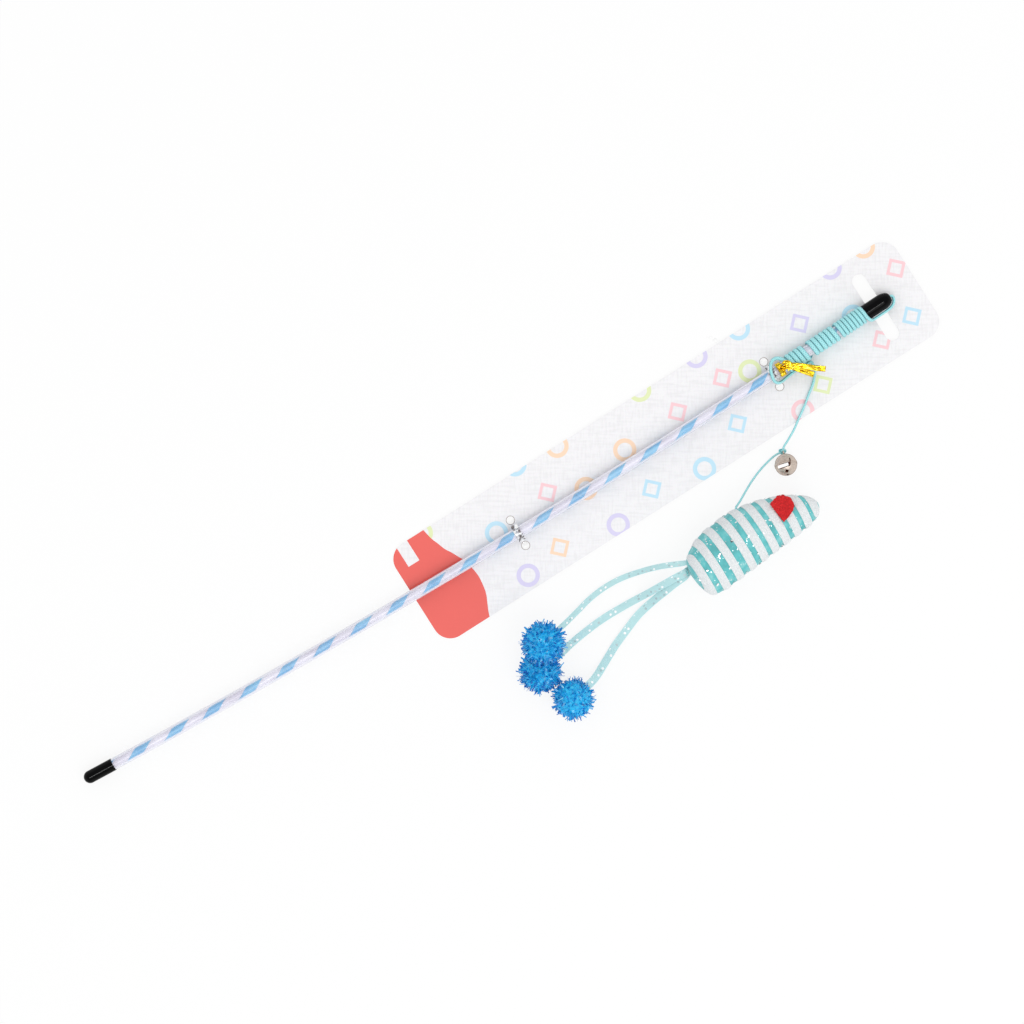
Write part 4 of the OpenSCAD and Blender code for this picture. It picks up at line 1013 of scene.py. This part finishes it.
class WandBell(bpy.types.Operator):
    """Presses the bell with its seam, slots and hole, and plates its eye and ball"""
    bl_idname = "wand.bell"
    bl_label = "Bell"

    def execute(self, context):
        looks = context.scene.wand_bell
        bpy.ops.object.select_all(action="DESELECT")
        bpy.ops.mesh.primitive_uv_sphere_add(segments=96, ring_count=64, radius=BELL_R, location=(0, 0, 0))
        bell = context.object
        bell.name = bell.data.name = "pressed_bell"
        bpy.ops.object.mode_set(mode="EDIT")
        for height in (-SEAM_HALF, SEAM_HALF):
            bpy.ops.mesh.select_all(action="SELECT")
            bpy.ops.mesh.bisect(plane_co=(0, 0, height), plane_no=(0, 0, 1))
        bpy.ops.mesh.select_all(action="DESELECT")
        mesh = bmesh.from_edit_mesh(bell.data)
        for face in mesh.faces:
            face.select_set(abs(face.calc_center_median().z) < SEAM_HALF)
        bmesh.update_edit_mesh(bell.data)
        bpy.ops.mesh.extrude_region_shrink_fatten(TRANSFORM_OT_shrink_fatten={"value": SEAM_OUT})
        bpy.ops.object.mode_set(mode="OBJECT")
        nickel = plated_steel("nickel_plated_steel", looks.metal, 0.38)
        # Painted shade: the inner wall and the slots' cut walls are dark brown, with a painted glow under the long
        # slot
        inside = bell_inside("bare_shaded_steel", srgb("#7A3E24"), 0)
        bell.data.materials.append(nickel)
        bell.data.materials.append(inside)
        modified(bell, "SOLIDIFY", {"thickness": looks.wall, "offset": -1, "material_offset": 1})
        # The cuts are made in mm, because the boolean loses faces at this size in metres
        place = Matrix.Scale(1 / MM, 4) @ Matrix.Translation(BELL_AT)
        lean = place @ spun(BELL_BEARING + 180, "Z") @ spun(BELL_LEAN, "Y")
        bell.data.transform(lean)
        cutters = []
        for bearing, leaning, length, wide, turn in BELL_SLOTS:
            cutter = press_slot(length * MM, looks.slot_width * wide, 2.4 * MM)
            cutter.data.materials.append(inside)
            cutter.data.transform(place @ spun(bearing, "Z") @ spun(leaning, "Y")
                                  @ Matrix.Translation((0, 0, BELL_R - looks.wall / 2)) @ spun(turn, "Z"))
            cutters.append(cutter)
        bpy.ops.object.select_all(action="DESELECT")
        bpy.ops.mesh.primitive_cylinder_add(vertices=48, radius=EYE_HOLE_R, depth=2 * MM)
        hole = context.object
        hole.data.transform(lean @ Matrix.Translation((0, 0, -BELL_R)))
        for cutter in cutters + [hole]:
            modified(bell, "BOOLEAN", {"operation": "DIFFERENCE", "object": cutter, "solver": "MANIFOLD",
                                       "material_mode": "TRANSFER"})
            bpy.data.objects.remove(cutter)
        bell.data.transform(Matrix.Scale(MM, 4))
        choose_only(bell)
        bpy.ops.object.shade_smooth_by_angle(angle=math.radians(32))
        dress(bell, "bell", None, "bell_metal", "bell_crown", "bell_base")
        repaint("bell_eye", nickel)
        # The ball shares the painted glow under the long slot
        repaint("bell_pea", bell_inside("steel_ball_painted_glow", srgb("#B9B4AC"), 1))
        return {"FINISHED"}


class WandMouse(bpy.types.Operator):
    """Stuffs the mouse: glitter cover, terry wrap, silver flakes and tail patch"""
    bl_idname = "wand.mouse"
    bl_label = "Mouse body"

    def execute(self, context):
        looks = context.scene.wand_mouse
        rings, sides = 150, 110
        cover = []
        for i in range(rings + 1):
            t = i / rings
            share = t - math.sin(math.tau * t) / 16
            ring = []
            for k in range(sides):
                angle = 360 * k / sides
                place = mouse_place(share, angle, 0)
                grain = noise.noise(place / (0.7 * MM)) * 0.16 + noise.noise(place / (4 * MM)) * 0.25
                ring.append(mouse_place(share, angle, (0.35 + grain) * min(1, 12 * t, 12 * (1 - t))))
            cover.append(ring)
        body = skinned("glitter_cover", cover)
        dress(body, "mouse", glitter_cloth(looks), "glitter_teal", "mouse_stuffing", "mouse_skin")

        steps, points = round(WRAP_TURNS * 190), 15
        width = looks.wrap_width / MM / MOUSE_LENGTH
        wrap = []
        for i in range(steps + 1):
            turns = WRAP_TURNS * i / steps
            angle = 360 * turns
            middle = wrap_share(turns, angle)
            taper = min(1, (i + 4) / 24, (steps - i + 4) / 24)
            ring = []
            for k in range(points):
                c = math.cos(math.pi * k / (points - 1))
                rise = math.sin(math.pi * k / (points - 1)) ** 0.5
                share = middle + c * width / 2 * taper
                base = mouse_place(share, angle, 0.2)
                loops = (noise.noise(base / (0.62 * MM)) * 0.75
                         + noise.noise(base / (0.3 * MM) + Vector((9, 0, 0))) * 0.45)
                ribs = 0.22 * math.sin(i * math.tau / 4.6)
                out = 0.42 + 0.5 * rise * taper + looks.pile / MM * (loops + ribs) * (0.3 + 0.7 * rise)
                ring.append(mouse_place(share, angle, out))
            ring.append(mouse_place(middle, angle, -0.3))
            wrap.append(ring)
        terry = skinned("terry_wrap", wrap)
        dress(terry, "mouse", terry_yarn("looped_terry", looks.terry, srgb("#E4EAEC")), "white_terry",
              "mouse_wrap")

        self.scatter_flakes(looks)

        patch = copy_of("tail_patch_cloth", "tail_patch", 0.12)
        roughened(patch, 0.14, 0.5, 21)
        dress(patch, "mouse", terry_yarn("teal_terry", srgb("#9FDBDC"), srgb("#5FB0B5")), "glitter_teal",
              "tail_patch")
        return {"FINISHED"}

    def scatter_flakes(self, looks):
        """Lays the large flakes in their places and scatters small ones between the turns of the wrap."""
        draw = random.Random(41)
        bpy.ops.object.select_all(action="DESELECT")
        bpy.ops.mesh.primitive_circle_add(vertices=6, radius=looks.flake_width / 2, fill_type="NGON")
        model = bpy.context.object
        bpy.ops.object.mode_set(mode="EDIT")
        bpy.ops.mesh.select_all(action="SELECT")
        bpy.ops.mesh.extrude_region_move(TRANSFORM_OT_translate={"value": (0, 0, 0.07 * MM)})
        bpy.ops.mesh.inset(thickness=0.12 * MM)
        bpy.ops.transform.translate(value=(0, 0, 0.03 * MM))
        bpy.ops.mesh.select_all(action="SELECT")
        bpy.ops.mesh.normals_make_consistent(inside=False)
        bpy.ops.object.mode_set(mode="OBJECT")
        spots = []
        for right, down, long in LARGE_FLAKES:
            away = Matrix.Rotation(math.radians(CAMERA_TURN), 3, "Z") @ Vector((right, -down, 0)) * PIXEL
            away += Vector((PHOTO_MIDDLE[0] - MOUSE_AT[0], PHOTO_MIDDLE[1] - MOUSE_AT[1], 0))
            local = Matrix.Rotation(math.radians(-MOUSE_TURN), 3, "Z") @ away
            share = local.x / MOUSE_LENGTH
            back, belly = looked_up(BODY_FINE, share)
            rise = (local.y - WRAP_STAND - SKIN_H * (back + belly) / 2) / (SKIN_H * (back - belly) / 2)
            spots.append((share, math.degrees(math.acos(min(max(rise, -0.95), 0.95))), long))
        for turn in range(1, 9):
            for angle in range(165, 390, 62):
                turns = turn + angle / 360 + draw.uniform(-0.03, 0.03)
                if turns + 1 < WRAP_TURNS:
                    share = (wrap_share(turns, angle) + wrap_share(turns + 1, angle)) / 2
                    spots.append((share, angle + draw.uniform(-8, 8), draw.choice((1, 1, 1.4, 1.9))))
        mesh = bmesh.new()
        for share, angle, long in spots:
            middle = mouse_place(share, angle, 0.7)
            out = (mouse_place(share, angle, 1.5) - middle).normalized()
            tilt = Vector((draw.uniform(-1, 1), draw.uniform(-1, 1), draw.uniform(-1, 1))) * 0.2
            turn = (out + tilt).to_track_quat("Z", "Y").to_matrix().to_4x4()
            before = len(mesh.verts)
            mesh.from_mesh(model.data)
            mesh.verts.ensure_lookup_table()
            bmesh.ops.transform(mesh, matrix=Matrix.Translation(middle) @ turn @ Matrix.Rotation(
                draw.uniform(0, 6), 4, "Z") @ Matrix.Diagonal((long, 1, 1, 1)), verts=mesh.verts[before:])
        bpy.data.objects.remove(model)
        flakes = link_mesh("silver_flakes", mesh)
        dress(flakes, "mouse", silver_flake(), "glitter_teal")


class WandEars(bpy.types.Operator):
    """Cuts the felt ears"""
    bl_idname = "wand.ears"
    bl_label = "Ears"

    def execute(self, context):
        felt = wool_felt(context.scene.wand_mouse)
        for name, node, body in (("felt_ear_upper", "ear_upper", "upper_ear"),
                                 ("felt_ear_lower", "ear_lower", "lower_ear")):
            ear = copy_of(name, node, 0.14)
            ear.data.transform(Matrix.Translation(Vector((-1.5, 0.4, 0)) * MM * (body == "upper_ear")))
            modified(ear, "SMOOTH", {"factor": 0.5, "iterations": 40})
            roughened(ear, 0.2, 0.7, 4)
            roughened(ear, 0.12, 0.25, 9)
            dress(ear, body, felt, "red_felt", node)
        return {"FINISHED"}


class WandPompoms(bpy.types.Operator):
    """Ties the three tinsel pom-poms"""
    bl_idname = "wand.pompoms"
    bl_label = "Pom-poms"

    def execute(self, context):
        looks = context.scene.wand_tails
        film = tinsel_film(looks)
        for i, spot in enumerate(POMS):
            draw = random.Random(100 + i)
            middle = at(*spot)
            mesh = bmesh.new()
            lay = mesh.loops.layers.uv.new("lay")
            bmesh.ops.create_icosphere(mesh, subdivisions=4, radius=8 * MM, matrix=Matrix.Translation(middle))
            for point in mesh.verts:
                point.co += (point.co - middle) * 0.14 * noise.noise(point.co / (1.1 * MM))
            for face in mesh.faces:
                for loop in face.loops:
                    loop[lay].uv = 0.45 + 0.5 * noise.noise(loop.vert.co / (0.9 * MM)), 0.8
            for _ in range(looks.strands):
                z, a = draw.uniform(-1, 1), draw.uniform(0, math.tau)
                flat = math.sqrt(1 - z * z)
                way = Vector((flat * math.cos(a), flat * math.sin(a), z))
                side = way.orthogonal().normalized()
                side.rotate(Matrix.Rotation(draw.uniform(0, math.tau), 3, way))
                curl = way.cross(side) * draw.uniform(-0.7, 0.7)
                reach = looks.reach * (1, 1, 0.93)[i] * draw.choice((0.76, 0.79, 0.81, 0.83, 0.86, 0.88, 0.92, 1))
                hue, wide = draw.random(), draw.uniform(0.3, 0.72) * MM
                rows = []
                for t in (0.68, 0.8, 0.9, 1):
                    place = middle + (way + curl * t * t).normalized() * reach * t
                    place.z = max(place.z, 0.05 * MM)
                    half = side * wide * (1.2 - t * 0.65)
                    rows.append((mesh.verts.new(place - half), mesh.verts.new(place + half), t))
                for low, high in zip(rows, rows[1:]):
                    face = mesh.faces.new((low[0], low[1], high[1], high[0]))
                    for loop, t in zip(face.loops, (low[2], low[2], high[2], high[2])):
                        loop[lay].uv = hue, t
            pom = link_mesh("tinsel_pompom_%d" % (i + 1), mesh)
            dress(pom, TAIL_BODIES[i], film, "blue_tinsel", "pompom_%d" % (i + 1))
        return {"FINISHED"}


class WandPanel(bpy.types.Panel):
    """Lists the steps that dress the wand"""
    bl_idname = "VIEW3D_PT_wand"
    bl_label = "Cat teaser wand"
    bl_space_type = "VIEW_3D"
    bl_region_type = "UI"
    bl_category = "Wand"

    def draw(self, context):
        for step in STEPS:
            self.layout.operator(step.bl_idname)


LOOKS = (("wand_studio", WandStudioLooks), ("wand_rod", WandRodLooks), ("wand_cords", WandCordLooks),
         ("wand_card", WandCardLooks), ("wand_ties", WandTieLooks), ("wand_bell", WandBellLooks),
         ("wand_mouse", WandMouseLooks), ("wand_tails", WandTailLooks))
STEPS = (WandStage, WandCords, WandRibbons, WandRod, WandCard, WandTies, WandBell, WandMouse, WandEars,
         WandPompoms)


def register():
    for name, group in LOOKS:
        bpy.utils.register_class(group)
        setattr(bpy.types.Scene, name, PointerProperty(type=group))
    for made in STEPS + (WandPanel,):
        bpy.utils.register_class(made)


def unregister():
    for made in reversed(STEPS + (WandPanel,)):
        bpy.utils.unregister_class(made)
    for name, group in reversed(LOOKS):
        delattr(bpy.types.Scene, name)
        bpy.utils.unregister_class(group)


def main():
    """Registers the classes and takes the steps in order."""
    register()
    bpy.ops.wand.stage()
    bpy.ops.wand.cords()
    bpy.ops.wand.ribbons()
    bpy.ops.wand.rod()
    bpy.ops.wand.card()
    bpy.ops.wand.ties()
    bpy.ops.wand.bell()
    bpy.ops.wand.mouse()
    bpy.ops.wand.ears()
    bpy.ops.wand.pompoms()


if __name__ == "__main__":
    main()
